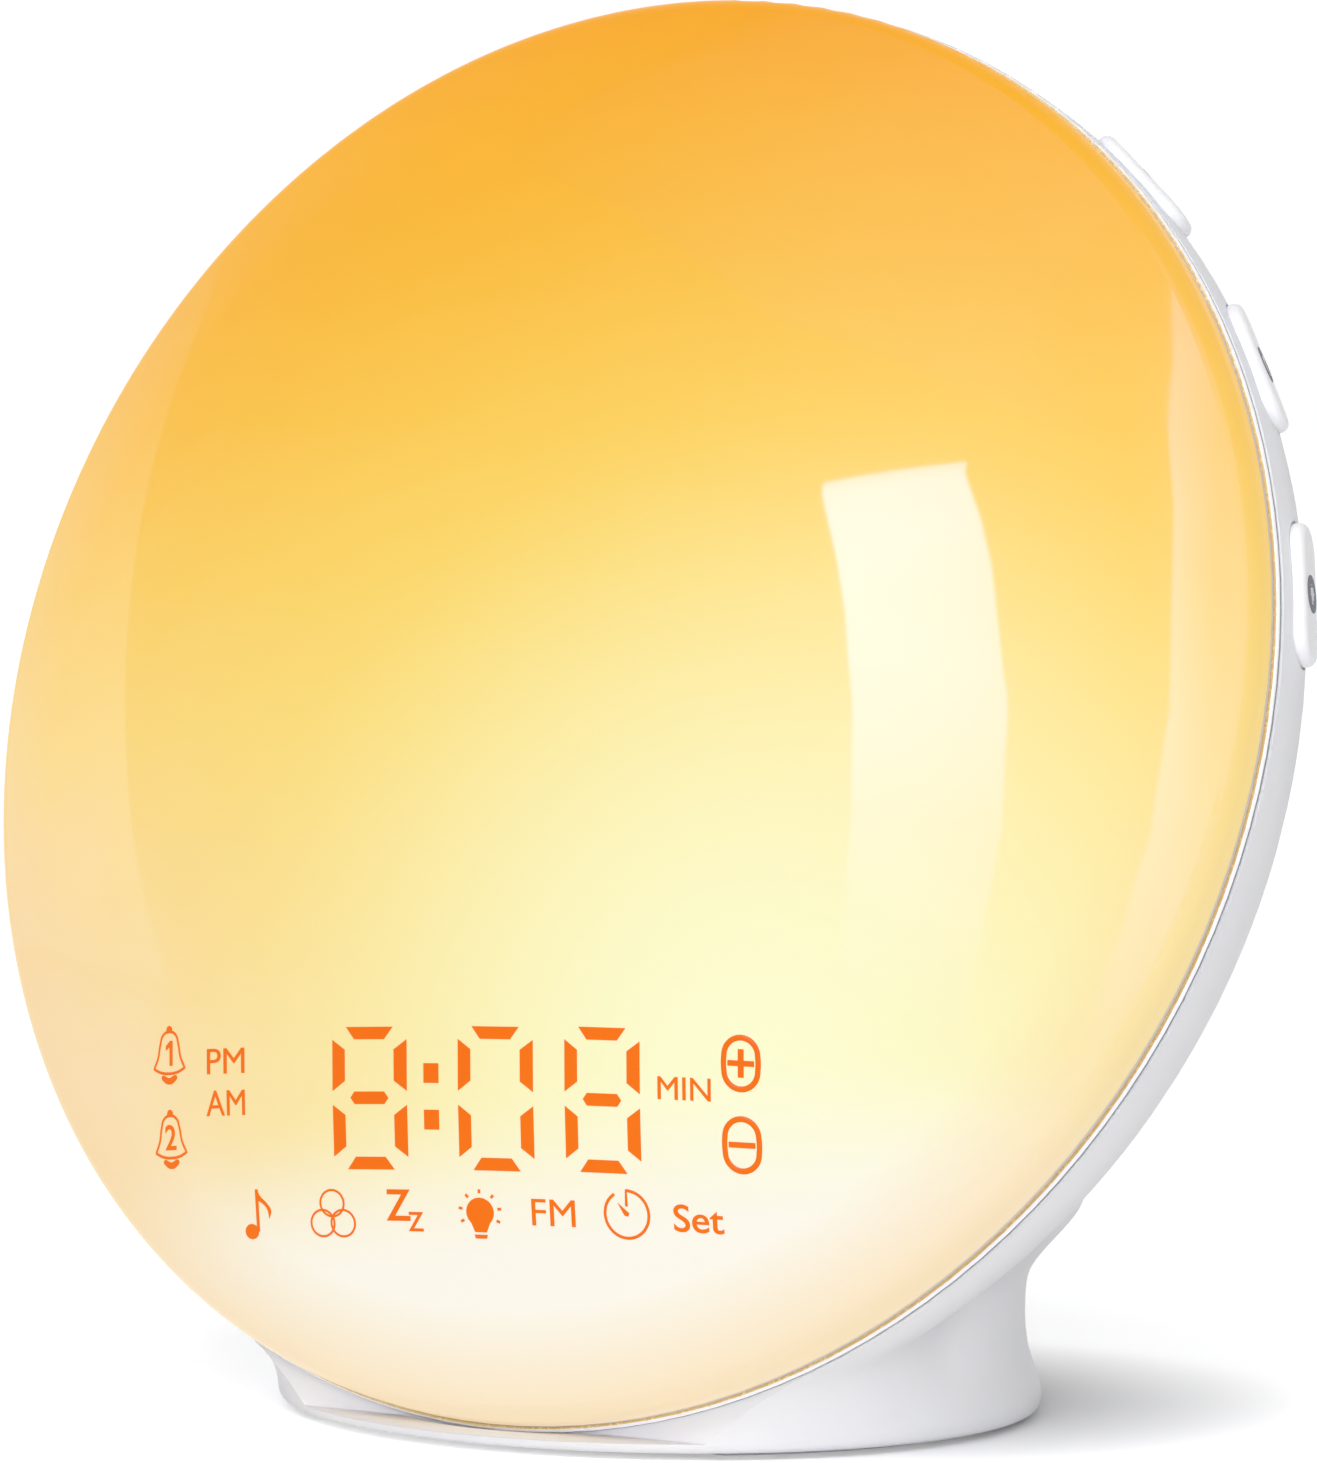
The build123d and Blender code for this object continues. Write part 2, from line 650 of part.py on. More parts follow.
def rear_housing():
    outer, inner = housing_shell()
    body = outer - inner
    # inner features end inside the wall, so no face lies on the outer skin
    skin = blended_form(housing_wall / 2, False)
    for side in (1, -1):
        for angle in key_angles:
            body -= key_place(side * angle) * key_opening()
    # screw tubes from the rear face to the frame's bosses
    shoulder = -housing_screw_shoulder
    tube_end = shoulder + 7.0
    rear = bowl_equator - bowl_depth - 5
    for x, y in housing_screw_spots():
        body += to_world(rod(5.0, rear, tube_end, x, y)) & skin
    for x, y in housing_screw_spots():
        body -= to_world(rod(1.7, rear, tube_end + 1, x, y))
        body -= to_world(rod(3.4, rear - 1, shoulder, x, y))
    # speaker opening with a ledge for the grille, and the speaker's bosses
    body -= to_world(rod(grille_radius + fit, pad_z - 1, pad_z + grille_thick))
    body -= to_world(rod(grille_radius - 3.0, pad_z - 1, pad_inner_z + 1))
    for x, y in speaker_screw_spots():
        body += to_world(rod(3.2, pad_inner_z - 0.5, pad_inner_z + gasket_thick, x, y))
        body -= to_world(rod(1.0, pad_inner_z - 0.9, pad_inner_z + gasket_thick + 1, x, y))
    # posts with ribs for the base screws
    post_low = plate_top_z + base_boss_lift
    for x, y in base_screw_spots():
        reach = math.hypot(x, y)
        rib = block(reach, 2 * reach, -0.8, 0.8, post_low + 2, post_low + 12)
        rib = Rot(0, 0, math.degrees(math.atan2(y, x))) * rib
        body += (rod(3.5, post_low, post_low + 12, x, y) + rib) & skin
        body -= rod(1.25, post_low - 1, post_low + 10, x, y)
    # flat wall for the sockets, set into the back of the pedestal
    width = socket_half_width + housing_wall
    panel = block(-width, width, socket_y - housing_wall, 2 * base_half_depth,
                  socket_low - housing_wall, socket_high + housing_wall)
    pocket = block(-socket_half_width, socket_half_width, socket_y, 2 * base_half_depth, socket_low, socket_high)
    pocket = fillet(pocket.edges().filter_by(Axis.Y), 3.0)
    body = body + (panel & skin) - pocket
    body -= Pos(jack_x, socket_y, jack_axis_z()) * Rot(90, 0, 0) * Cylinder(4.3, 4 * housing_wall)
    low, high = usb_levels()
    body -= block(usb_x - 6.8, usb_x + 6.8, socket_y - 2 * housing_wall, socket_y + 1, low - 0.2, high + 0.2)
    return body


# Base: plate, foot, battery cover and cell
def front_line(z):
    # where the inner front wall of the pedestal crosses a height
    depth = housing_front_depth + (z - disc_centre[2]) * math.sin(tilt)
    return -disc_forward + depth / math.cos(tilt)


def base_face(inset):
    side = base_half_width - housing_wall - inset
    rear = base_half_depth - housing_wall - inset
    front = front_line(plate_top_z) + inset
    window = Pos(0, (front + 2 * rear) / 2) * Rectangle(3 * side, 2 * rear - front)
    return Ellipse(side, rear) & window


def foot_shape(grow, low, high):
    ring = base_face(foot_inset - grow) - base_face(foot_inset + foot_width + grow)
    return Pos(0, 0, low) * extrude(ring, high - low)


def cup_radii():
    inner = cover_radius + 3.0
    return inner, inner + 1.6


def cup_height():
    return plate_top_z + 5.8


def power_post_spots():
    edge = power_board_half - 3.5
    return [(x, y) for x in (-edge, edge) for y in (power_board_front + 3, power_board_rear - 3)]


def base_plate():
    body = Pos(0, 0, plate_z) * extrude(base_face(plate_gap), plate_thick)
    body -= foot_shape(0.1, 0, plate_z + foot_recess)
    for x, y in base_screw_spots():
        body += rod(4.5, plate_top_z - 0.5, plate_top_z + base_boss_lift, x, y)
        body -= rod(1.7, 0, plate_top_z + base_boss_lift + 1, x, y)
        body -= rod(3.1, 0, plate_top_z, x, y)
    for x, y in power_post_spots():
        body += rod(3.0, plate_top_z - 0.5, power_board_height, x, y)
        body -= rod(1.0, power_board_height - 6, power_board_height + 1, x, y)
    inner, outer = cup_radii()
    body += tube(outer, inner, plate_top_z - 0.5, cup_height(), 0, cover_y)
    body -= rod(cover_radius + fit, 0, plate_top_z + 0.01, 0, cover_y)
    ledge = tube(cover_radius + 1.0, cover_radius - 2.2, plate_top_z - 0.9, plate_top_z, 0, cover_y)
    return body + ledge - lug_notches()


def lug_face(grow):
    arm = Rectangle(2 * (cover_radius - 0.2 + grow), 5.0 + 2 * grow)
    return arm & Circle(cover_radius - 0.4 + grow)


def lug_notches():
    turned_face = Rot(0, 0, cover_turn) * lug_face(0.3)
    return Pos(0, cover_y, plate_z) * extrude(turned_face, plate_thick + 0.5)


def battery_cover():
    under_ledge = plate_top_z - 0.9 - 0.1
    disc_part = rod(cover_radius, plate_z, under_ledge)
    neck = rod(cover_radius - 2.4, under_ledge, plate_top_z + 0.2)
    lugs = Pos(0, 0, plate_top_z + 0.2) * extrude(lug_face(0), 1.0)
    slot = block(-4.5, 4.5, -0.9, 0.9, plate_z - 1, plate_z + 0.8)
    return Pos(0, cover_y, 0) * (disc_part + neck + lugs - slot)


def base_nodes():
    cell_low = plate_top_z + 1.5
    cell_high = cell_low + cell_thick
    inner, outer = cup_radii()
    top = cup_height()
    holder = rod(outer, top, top + 1.2) + tube(inner - fit, cell_radius + fit, cell_low, top)
    holder += rod(cell_radius + 1, cell_high + 0.3, top)
    base_screw = screw(2.75, 1.6, 1.25 - pilot_gap, base_boss_lift + 9.0)
    return {
        "base_plate": base_plate(),
        "foot_ring": foot_shape(0, 0, plate_z + foot_recess),
        "base_screws": group(Pos(x, y, plate_top_z) * base_screw for x, y in base_screw_spots()),
        "battery_cover": battery_cover(),
        "coin_cell": rod(cell_radius, cell_low, cell_high, 0, cover_y),
        "cell_contact": rod(cell_radius - 2, cell_high, cell_high + 0.3, 0, cover_y),
        "cell_holder": Pos(0, cover_y, 0) * holder,
    }


# Power board and sockets in the pedestal
def jack_axis_z():
    return power_board_height + board_thick + 5.5


def usb_levels():
    low = power_board_height + board_thick
    return low, low + 5.8


def power_nodes():
    top = power_board_height + board_thick
    board = block(-power_board_half, power_board_half, power_board_front, power_board_rear,
                  power_board_height, top)
    for x, y in power_post_spots():
        board -= rod(1.2, power_board_height - 1, top + 1, x, y)
    wall_in = socket_y - housing_wall
    axis_z = jack_axis_z()
    lie = Rot(90, 0, 0)
    jack = block(jack_x - 4.5, jack_x + 4.5, wall_in - 12, wall_in, top, axis_z + 5.5)
    jack += Pos(jack_x, wall_in + 0.9, axis_z) * lie * Cylinder(4.1, 1.8 + 0.2)
    jack -= Pos(jack_x, wall_in - 4, axis_z) * lie * Cylinder(3.0, 12 + 0.1)
    pin = Pos(jack_x, wall_in - 5.25, axis_z) * lie * Cylinder(1.0, 9.5)
    low, high = usb_levels()
    shell = block(usb_x - 6.6, usb_x + 6.6, wall_in - 12, wall_in + 1.8, low, high)
    shell -= block(usb_x - 6.1, usb_x + 6.1, wall_in - 11, wall_in + 3, low + 0.5, high - 0.5)
    tongue = block(usb_x - 5.3, usb_x + 5.3, wall_in - 11, wall_in + 0.6, high - 2.7, high - 0.9)
    post_screw = Rot(180, 0, 0) * screw(2.0, 1.2, 1.0 - pilot_gap, board_thick + 4.5)
    return {
        "power_board": board,
        "power_board_screws": group(Pos(x, y, top) * post_screw for x, y in power_post_spots()),
        "dc_jack": jack,
        "dc_jack_pin": pin,
        "usb_port": shell,
        "usb_tongue": tongue,
    }


def housing_nodes():
    long_screw = screw(3.0, 2.0, 1.25 - pilot_gap, 12.0)
    return {
        "front_lens": front_lens(),
        "trim_ring": trim_ring(),
        "front_frame": front_frame(),
        "rear_housing": rear_housing(),
        "housing_screws": group(to_world(Pos(x, y, -housing_screw_shoulder) * long_screw)
                                for x, y in housing_screw_spots()),
    }


# Leads that run inside the housing
def display_ribbon():
    front = -frame_plate_depth
    level = frame_back_z - 5.0 - board_thick - 1.2
    start_y = board_split_y - 5.5
    path = FilletPolyline((start_y, front), (start_y, level), (-8.0, level), radius=4.0)
    strip = trace(path, line_width=0.4)
    return to_world(Plane.YZ * Pos(0, 0, -7.0) * extrude(strip, 14.0))


def lead(points, radii, thickness):
    path = FilletPolyline(*points, radius=radii)
    section = Plane(origin=path @ 0, z_dir=path % 0) * Circle(thickness / 2)
    return sweep(section, path=path)


def lead_nodes():
    socket_z = frame_back_z - 5.0 - board_thick - 2.0
    seat = pad_inner_z + gasket_thick
    speaker = lead([(16, -8, socket_z), (16, -18, socket_z), (17, -20.5, seat + 8.0)], [4.0], 1.6)
    end = disc.from_local_coords(Vector(-16, -8.8, socket_z))
    top = power_board_height + board_thick
    power = lead([(-16, 8, top), (-16, 8, top + 24), end], [60.0], 2.4)
    return {
        "display_ribbon": display_ribbon(),
        "speaker_lead": to_world(speaker),
        "power_lead": power,
    }


def main():
    os.makedirs("parts", exist_ok=True)
    nodes = {}
    for make in (housing_nodes, light_nodes, key_nodes, main_board_nodes, speaker_nodes, base_nodes,
                 power_nodes, lead_nodes):
        nodes.update(make())
    for name, shape in nodes.items():
        export_step(shape, f"parts/{name}.step")
    print(len(nodes), "nodes")


main()
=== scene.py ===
import json
import math

import bmesh
import bpy
from mathutils import Matrix, Vector


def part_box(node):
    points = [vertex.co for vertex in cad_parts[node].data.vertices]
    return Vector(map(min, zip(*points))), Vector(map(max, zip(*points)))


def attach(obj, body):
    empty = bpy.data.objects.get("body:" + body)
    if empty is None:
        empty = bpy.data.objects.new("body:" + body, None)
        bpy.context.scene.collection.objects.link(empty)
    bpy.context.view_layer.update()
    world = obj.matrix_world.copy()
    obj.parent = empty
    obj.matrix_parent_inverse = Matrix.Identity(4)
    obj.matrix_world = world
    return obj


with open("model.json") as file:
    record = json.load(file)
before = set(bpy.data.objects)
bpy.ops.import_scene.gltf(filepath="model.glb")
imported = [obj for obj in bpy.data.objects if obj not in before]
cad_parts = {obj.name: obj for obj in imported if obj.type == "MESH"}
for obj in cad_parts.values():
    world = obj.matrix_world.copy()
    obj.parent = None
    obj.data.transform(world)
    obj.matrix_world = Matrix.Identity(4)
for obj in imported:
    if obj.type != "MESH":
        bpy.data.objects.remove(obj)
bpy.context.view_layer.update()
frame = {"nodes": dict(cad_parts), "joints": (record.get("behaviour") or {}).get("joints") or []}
nodes = frame["nodes"]
print("frame loaded:", len(nodes), "nodes")

mm = 0.001

# The light disc: a dome on a leaning plane, worked out from the lens node
disc = {
    "lean": math.radians(17.0),
    "apex": 24.0 * mm,          # top of the dome above the rim plane
    "lip": 2.0 * mm,            # straight band at the lens edge
    "edgeRound": 3.0 * mm,
}
lensLow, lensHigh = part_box("front_lens")
lensRadius = (lensHigh.x - lensLow.x) / 2
leanSin, leanCos = math.sin(disc["lean"]), math.cos(disc["lean"])
acrossAxis = Vector((1, 0, 0))
upAxis = Vector((0, leanSin, leanCos))
outAxis = Vector((0, -leanCos, leanSin))
discCentre = Vector((0, lensHigh.y - lensRadius * leanSin, lensLow.z + lensRadius * leanCos))
domeRise = disc["apex"] - disc["lip"]
domeRadius = ((lensRadius ** 2 + domeRise ** 2 - 2 * lensRadius * disc["edgeRound"])
              / (2 * (domeRise - disc["edgeRound"])))


def domePoint(across, up, lift):
    reach = domeRadius + lift
    out = disc["apex"] - domeRadius + math.sqrt(reach ** 2 - across ** 2 - up ** 2)
    return discCentre + across * acrossAxis + up * upAxis + out * outAxis


def addObject(name, data):
    added = bpy.data.objects.new(name, data)
    bpy.context.scene.collection.objects.link(added)
    return added


# Node helpers: an input is either linked or given its value
def feed(tree, node, inputs):
    for name, value in inputs.items():
        if isinstance(value, bpy.types.NodeSocket):
            tree.links.new(value, node.inputs[name])
        else:
            node.inputs[name].default_value = value


def addNode(tree, kind, inputs=None, **settings):
    node = tree.nodes.new(kind)
    for name, value in settings.items():
        setattr(node, name, value)
    feed(tree, node, inputs or {})
    return node


def mathOf(tree, operation, first, second=0.0, third=0.0, clamp=False):
    return addNode(tree, "ShaderNodeMath", {0: first, 1: second, 2: third}, operation=operation,
                   use_clamp=clamp).outputs[0]


def distanceOf(tree, across, up):
    return mathOf(tree, "SQRT", mathOf(tree, "ADD", mathOf(tree, "MULTIPLY", across, across),
                                       mathOf(tree, "MULTIPLY", up, up)))


def ramp(tree, value, low, high, toLow=0.0, toHigh=1.0, smooth=False):
    return addNode(tree, "ShaderNodeMapRange", {"Value": value, "From Min": low, "From Max": high,
                                                "To Min": toLow, "To Max": toHigh},
                   interpolation_type="SMOOTHSTEP" if smooth else "LINEAR").outputs["Result"]


def mixColour(tree, factor, first, second, blend="MIX"):
    return addNode(tree, "ShaderNodeMix", {0: factor, 6: first, 7: second}, data_type="RGBA",
                   blend_type=blend).outputs[2]


def objectPlace(tree):
    return addNode(tree, "ShaderNodeTexCoord").outputs["Object"]


def srgb(red, green, blue):
    def linear(value):
        value /= 255
        return value / 12.92 if value <= 0.04045 else ((value + 0.055) / 1.055) ** 2.4
    return (linear(red), linear(green), linear(blue), 1.0)


def grey(level):
    return (level, level, level, 1.0)


# A group's sockets are plain numbers, apart from these
socketKinds = {"Colour": "NodeSocketColor", "Normal": "NodeSocketVector"}


def startGroup(name, inputs, outputs):
    group = bpy.data.node_groups.new(name, "ShaderNodeTree")
    for label, value in inputs.items():
        group.interface.new_socket(label, in_out="INPUT", socket_type="NodeSocketFloat").default_value = value
    for label in outputs:
        group.interface.new_socket(label, in_out="OUTPUT", socket_type=socketKinds.get(label, "NodeSocketFloat"))
    return group, group.nodes.new("NodeGroupInput").outputs, group.nodes.new("NodeGroupOutput")


def placeGroup(tree, group, inputs=None):
    return addNode(tree, "ShaderNodeGroup", inputs, node_tree=group)


# Where a point lies on the disc: across, up, out of the rim plane, and from the disc's axis
def makeDiscPlace():
    names = ("Across", "Up", "Out", "Radius")
    group, start, end = startGroup("discPlace", {}, names)
    local = addNode(group, "ShaderNodeMapping", {"Vector": objectPlace(group), "Location": discCentre,
                                                 "Rotation": (math.radians(90) - disc["lean"], 0, 0)},
                    vector_type="TEXTURE").outputs[0]
    across, up, out = addNode(group, "ShaderNodeSeparateXYZ", {0: local}).outputs
    feed(group, end, dict(zip(names, (across, up, out, distanceOf(group, across, up)))))
    return group


discPlace = makeDiscPlace()

# Sunrise colours of the lamp. The steps go from the foot of the disc to its top, by height in millimetres; the
# pale lowest steps also carry part of a painted reflection over the foot. Over them lie the pale heart of the
# glow, a near-white painted reflection over the foot, and a pale painted reflection on the rounded rim, strongest
# at the foot
sunrise = {
    "steps": ((-86, (253, 236, 216)), (-50, (255, 228, 196)), (-30, (255, 220, 156)),
              (-10, (255, 216, 120)), (10, (255, 206, 85)), (30, (255, 194, 50)), (50, (254, 185, 28)),
              (68, (254, 181, 14)), (86, (252, 171, 3))),
    "heartPlace": (36 * mm, -48 * mm),
    "halo": (140 * mm, (255, 231, 123)),
    "core": (81 * mm, (255, 255, 210)),
    # near-white painted reflection over the foot of the disc
    "paintedFootReflection": (255, 251, 237),
    "washFrom": -49.5 * mm,
    "washDepth": 21 * mm,
    "washSlope": 0.16,
    # pale painted reflection on the rounded rim of the dome
    "rim": (254, 220, 162),
    "rimFrom": 75 * mm,
    "rimFull": 87 * mm,
    "rimReflectionShare": 0.65,
    "rimTop": 70 * mm,          # the painted rim reflection is bare here and full at rimFoot
    "rimFoot": -60 * mm,
    "cloudScale": 14.0,         # slow ripple from the lamps behind
    "lensRipple": 0.04,
    "sheetRipple": 0.1,
}


def makeSunriseGlow():
    group, start, end = startGroup("sunriseGlow", {"Ripple": 0.03}, ["Colour"])
    across, up, out, radius = placeGroup(group, discPlace).outputs
    steps = sunrise["steps"]
    foot, top = steps[0][0], steps[-1][0]
    cloud = addNode(group, "ShaderNodeTexNoise", {"Scale": sunrise["cloudScale"], "Detail": 1.0})
    ripple = mathOf(group, "MULTIPLY", mathOf(group, "SUBTRACT", cloud.outputs["Fac"], 0.5), start["Ripple"])
    bands = addNode(group, "ShaderNodeValToRGB",
                    {"Fac": mathOf(group, "ADD", ramp(group, up, foot * mm, top * mm), ripple)})
    marks = bands.color_ramp.elements
    while len(marks) < len(steps):
        marks.new(0.5)
    for mark, (height, colour) in zip(marks, steps):
        mark.position = (height - foot) / (top - foot)
    for mark, (height, colour) in zip(marks, steps):
        mark.color = srgb(*colour)
    colour = bands.outputs["Color"]
    distance = distanceOf(group, mathOf(group, "SUBTRACT", across, sunrise["heartPlace"][0]),
                          mathOf(group, "SUBTRACT", up, sunrise["heartPlace"][1]))
    for reach, tone in (sunrise["halo"], sunrise["core"]):
        colour = mixColour(group, ramp(group, distance, reach, 0.0, smooth=True), colour, srgb(*tone))
    # Painted reflection: the foot of the disc is washed near-white, up to a line sloping across the disc
    slope = mathOf(group, "MULTIPLY_ADD", across, -sunrise["washSlope"], up)
    paintedFootReflection = ramp(group, slope, sunrise["washFrom"], sunrise["washFrom"] - sunrise["washDepth"], smooth=True)
    colour = mixColour(group, paintedFootReflection, colour, srgb(*sunrise["paintedFootReflection"]))
    # Painted reflection on the rounded rim: paler towards the edge, strongest towards the foot
    rim = mathOf(group, "MULTIPLY",
                 ramp(group, radius, sunrise["rimFrom"], sunrise["rimFull"], 0.0, sunrise["rimReflectionShare"]),
                 ramp(group, up, sunrise["rimTop"], sunrise["rimFoot"]))
    feed(group, end, {"Colour": mixColour(group, rim, colour, srgb(*sunrise["rim"]))})
    return group


sunriseGlow = makeSunriseGlow()

# Moulded plastic: fine spark grain, and slow changes of gloss and shade
mouldLook = {"slowScale": 26.0, "shadeFrom": 0.3, "shadeFull": 0.7}


def makeMouldGrain():
    group, start, end = startGroup("mouldGrain", {"Grain": 0.0004, "Roughness": 0.4, "Spread": 0.1},
                                   ["Roughness", "Height", "Shade"])
    here = objectPlace(group)
    fine = mathOf(group, "DIVIDE", 1.0, start["Grain"])
    pits = addNode(group, "ShaderNodeTexNoise", {"Vector": here, "Detail": 2.0, "Scale": fine}).outputs["Fac"]
    slow = addNode(group, "ShaderNodeTexNoise", {"Vector": here, "Scale": mouldLook["slowScale"],
                                                 "Detail": 3.0}).outputs["Fac"]
    change = mathOf(group, "MULTIPLY", mathOf(group, "SUBTRACT", slow, 0.5), start["Spread"])
    feed(group, end, {"Roughness": mathOf(group, "ADD", start["Roughness"], change), "Height": pits,
                      "Shade": ramp(group, slow, mouldLook["shadeFrom"], mouldLook["shadeFull"])})
    return group


mouldGrain = makeMouldGrain()


# A rounded look for sharp edges, and a mask of where the edges are
def makeSoftEdge():
    group, start, end = startGroup("softEdge", {"Width": 0.0003, "Gain": 6.0}, ["Normal", "Edge"])
    bevel = addNode(group, "ShaderNodeBevel", {"Radius": start["Width"]}, samples=4).outputs[0]
    plain = addNode(group, "ShaderNodeNewGeometry").outputs["Normal"]
    along = addNode(group, "ShaderNodeVectorMath", {0: bevel, 1: plain}, operation="DOT_PRODUCT")
    off = mathOf(group, "MULTIPLY", mathOf(group, "SUBTRACT", 1.0, along.outputs["Value"]), start["Gain"])
    feed(group, end, {"Normal": bevel, "Edge": mathOf(group, "MINIMUM", off, 1.0)})
    return group


softEdge = makeSoftEdge()

# Dust that settles on faces that look up
dustLook = {"slopeFrom": 0.35, "speckFrom": 0.4, "speckFull": 0.75}


def makeSettledDust():
    group, start, end = startGroup("settledDust", {"Amount": 0.2, "Speck": 0.002}, ["Dust"])
    facing = addNode(group, "ShaderNodeSeparateXYZ",
                     {0: addNode(group, "ShaderNodeNewGeometry").outputs["Normal"]}).outputs["Z"]
    specks = addNode(group, "ShaderNodeTexNoise", {
        "Vector": objectPlace(group), "Detail": 5.0,
        "Scale": mathOf(group, "DIVIDE", 1.0, start["Speck"])}).outputs["Fac"]
    lying = mathOf(group, "MULTIPLY", ramp(group, facing, dustLook["slopeFrom"], 1.0),
                   ramp(group, specks, dustLook["speckFrom"], dustLook["speckFull"]))
    feed(group, end, {"Dust": mathOf(group, "MULTIPLY", lying, start["Amount"])})
    return group


settledDust = makeSettledDust()

# Drawn or turned metal: fine lines along one axis
lineLook = {"stretch": (1.0, 0.08, 1.0), "gloss": 0.08, "glossFrom": 0.3, "glossFull": 0.7,
            "shadeFrom": 0.25, "shadeFull": 0.75}


def makeDrawnLines():
    group, start, end = startGroup("drawnLines", {"Line": 0.0002, "Roughness": 0.3},
                                   ["Roughness", "Height", "Shade"])
    stretched = addNode(group, "ShaderNodeVectorMath", {0: objectPlace(group), 1: lineLook["stretch"]},
                        operation="MULTIPLY").outputs[0]
    lines = addNode(group, "ShaderNodeTexNoise", {
        "Vector": stretched, "Detail": 3.0,
        "Scale": mathOf(group, "DIVIDE", 1.0, start["Line"])}).outputs["Fac"]
    change = ramp(group, lines, lineLook["glossFrom"], lineLook["glossFull"], -lineLook["gloss"],
                  lineLook["gloss"])
    feed(group, end, {"Roughness": mathOf(group, "ADD", start["Roughness"], change), "Height": lines,
                      "Shade": ramp(group, lines, lineLook["shadeFrom"], lineLook["shadeFull"])})
    return group


drawnLines = makeDrawnLines()

# Copper under lacquer: tracks and pads
trackLook = {"bend": (0.01, 0.01, 0.01), "bendScale": 90.0, "gap": 0.06, "run": 6.0, "row": 0.5,
             "padScale": 0.35, "padSize": 0.22}


def makeCopperTracks():
    group, start, end = startGroup("copperTracks", {"Pitch": 0.0012}, ["Track", "Pad"])
    here = objectPlace(group)
    scale = mathOf(group, "DIVIDE", 1.0, start["Pitch"])
    bend = addNode(group, "ShaderNodeTexNoise", {"Vector": here, "Scale": trackLook["bendScale"], "Detail": 0.0})
    bent = addNode(group, "ShaderNodeVectorMath", {0: bend.outputs["Color"], 1: trackLook["bend"], 2: here},
                   operation="MULTIPLY_ADD").outputs[0]
    lines = addNode(group, "ShaderNodeTexBrick", {"Vector": bent, "Scale": scale, "Mortar Size": trackLook["gap"],
                                                  "Brick Width": trackLook["run"], "Row Height": trackLook["row"]})
    dots = addNode(group, "ShaderNodeTexVoronoi", {
        "Vector": here, "Scale": mathOf(group, "MULTIPLY", scale, trackLook["padScale"])}).outputs["Distance"]
    feed(group, end, {"Track": lines.outputs["Fac"],
                      "Pad": mathOf(group, "LESS_THAN", dots, trackLook["padSize"])})
    return group


copperTracks = makeCopperTracks()


def startMaterial(name, sockets):
    material = bpy.data.materials.new(name)
    material.use_nodes = True
    tree = material.node_tree
    shader = tree.nodes["Principled BSDF"]
    feed(tree, shader, sockets)
    return material, tree, shader


def bumpFrom(tree, shader, height, distance, strength, normal=None):
    inputs = {"Height": height, "Distance": distance, "Strength": strength}
    if normal is not None:
        inputs["Normal"] = normal
    feed(tree, shader, {"Normal": addNode(tree, "ShaderNodeBump", inputs).outputs[0]})


def placeGrain(tree, look):
    return placeGroup(tree, mouldGrain, {"Grain": look["grain"], "Roughness": look["roughness"],
                                         "Spread": look["spread"]})


# A look's grain gives the roughness and bump; the mask it hands back goes from shade to colour
def grainUnder(tree, shader, look, normal=None):
    grain = placeGrain(tree, look)
    feed(tree, shader, {"Roughness": grain.outputs["Roughness"]})
    bumpFrom(tree, shader, grain.outputs["Height"], look["depth"], look["bump"], normal)
    return grain.outputs["Shade"]


def shadeToColour(tree, mask, look):
    return mixColour(tree, mask, srgb(*look["shade"]), srgb(*look["colour"]))


# Milky lens: glowing dome with a hard clear skin, and a grey translucent lip
lensLook = {
    "glow": 0.7,                # share of the colour that is its own light
    "body": 0.24,               # share that the room's light brings out
    "lipColour": (206, 200, 194),
    "lipGlow": (60, 56, 50),
    "lipFull": 0.4 * mm,        # the grey lip ends here and has gone at lipGone
    "lipGone": 0.62 * mm,
    "skin": 0.3,
    "skinIor": 1.45,
    "skinRoughness": 0.035,
    "sheen": 0.08,
    "grain": 1.1 * mm,
    "roughness": 0.42,
    "spread": 0.16,
    "depth": 0.004 * mm,
    "bump": 0.3,
}


def skinSockets(look):
    return {"Emission Strength": look["glow"], "Coat Weight": look["skin"], "Coat IOR": lensLook["skinIor"],
            "Coat Roughness": lensLook["skinRoughness"], "Specular IOR Level": lensLook["sheen"]}


def makeLensMaterial():
    material, tree, shader = startMaterial("milkyLensSkin", skinSockets(lensLook))
    out = placeGroup(tree, discPlace).outputs["Out"]
    colour = placeGroup(tree, sunriseGlow, {"Ripple": sunrise["lensRipple"]}).outputs["Colour"]
    lip = ramp(tree, out, lensLook["lipGone"], lensLook["lipFull"])
    body = mixColour(tree, 1.0, colour, grey(lensLook["body"]), "MULTIPLY")
    feed(tree, shader, {"Base Color": mixColour(tree, lip, body, srgb(*lensLook["lipColour"])),
                        "Emission Color": mixColour(tree, lip, colour, srgb(*lensLook["lipGlow"]))})
    grainUnder(tree, shader, lensLook)
    return material


lensMaterial = makeLensMaterial()

# Lit symbols, printed under the same clear skin
symbolLook = {"colour": (255, 122, 6), "shade": (253, 114, 3), "glow": 0.68, "body": 0.24, "skin": 0.08,
              "grain": 0.9 * mm, "roughness": 0.4, "spread": 0.2, "depth": 0.004 * mm, "bump": 0.3}


def makeSymbolMaterial():
    material, tree, shader = startMaterial("litSymbolOrange", skinSockets(symbolLook))
    colour = shadeToColour(tree, grainUnder(tree, shader, symbolLook), symbolLook)
    feed(tree, shader, {"Base Color": mixColour(tree, 1.0, colour, grey(symbolLook["body"]), "MULTIPLY"),
                        "Emission Color": colour})
    return material


symbolMaterial = makeSymbolMaterial()

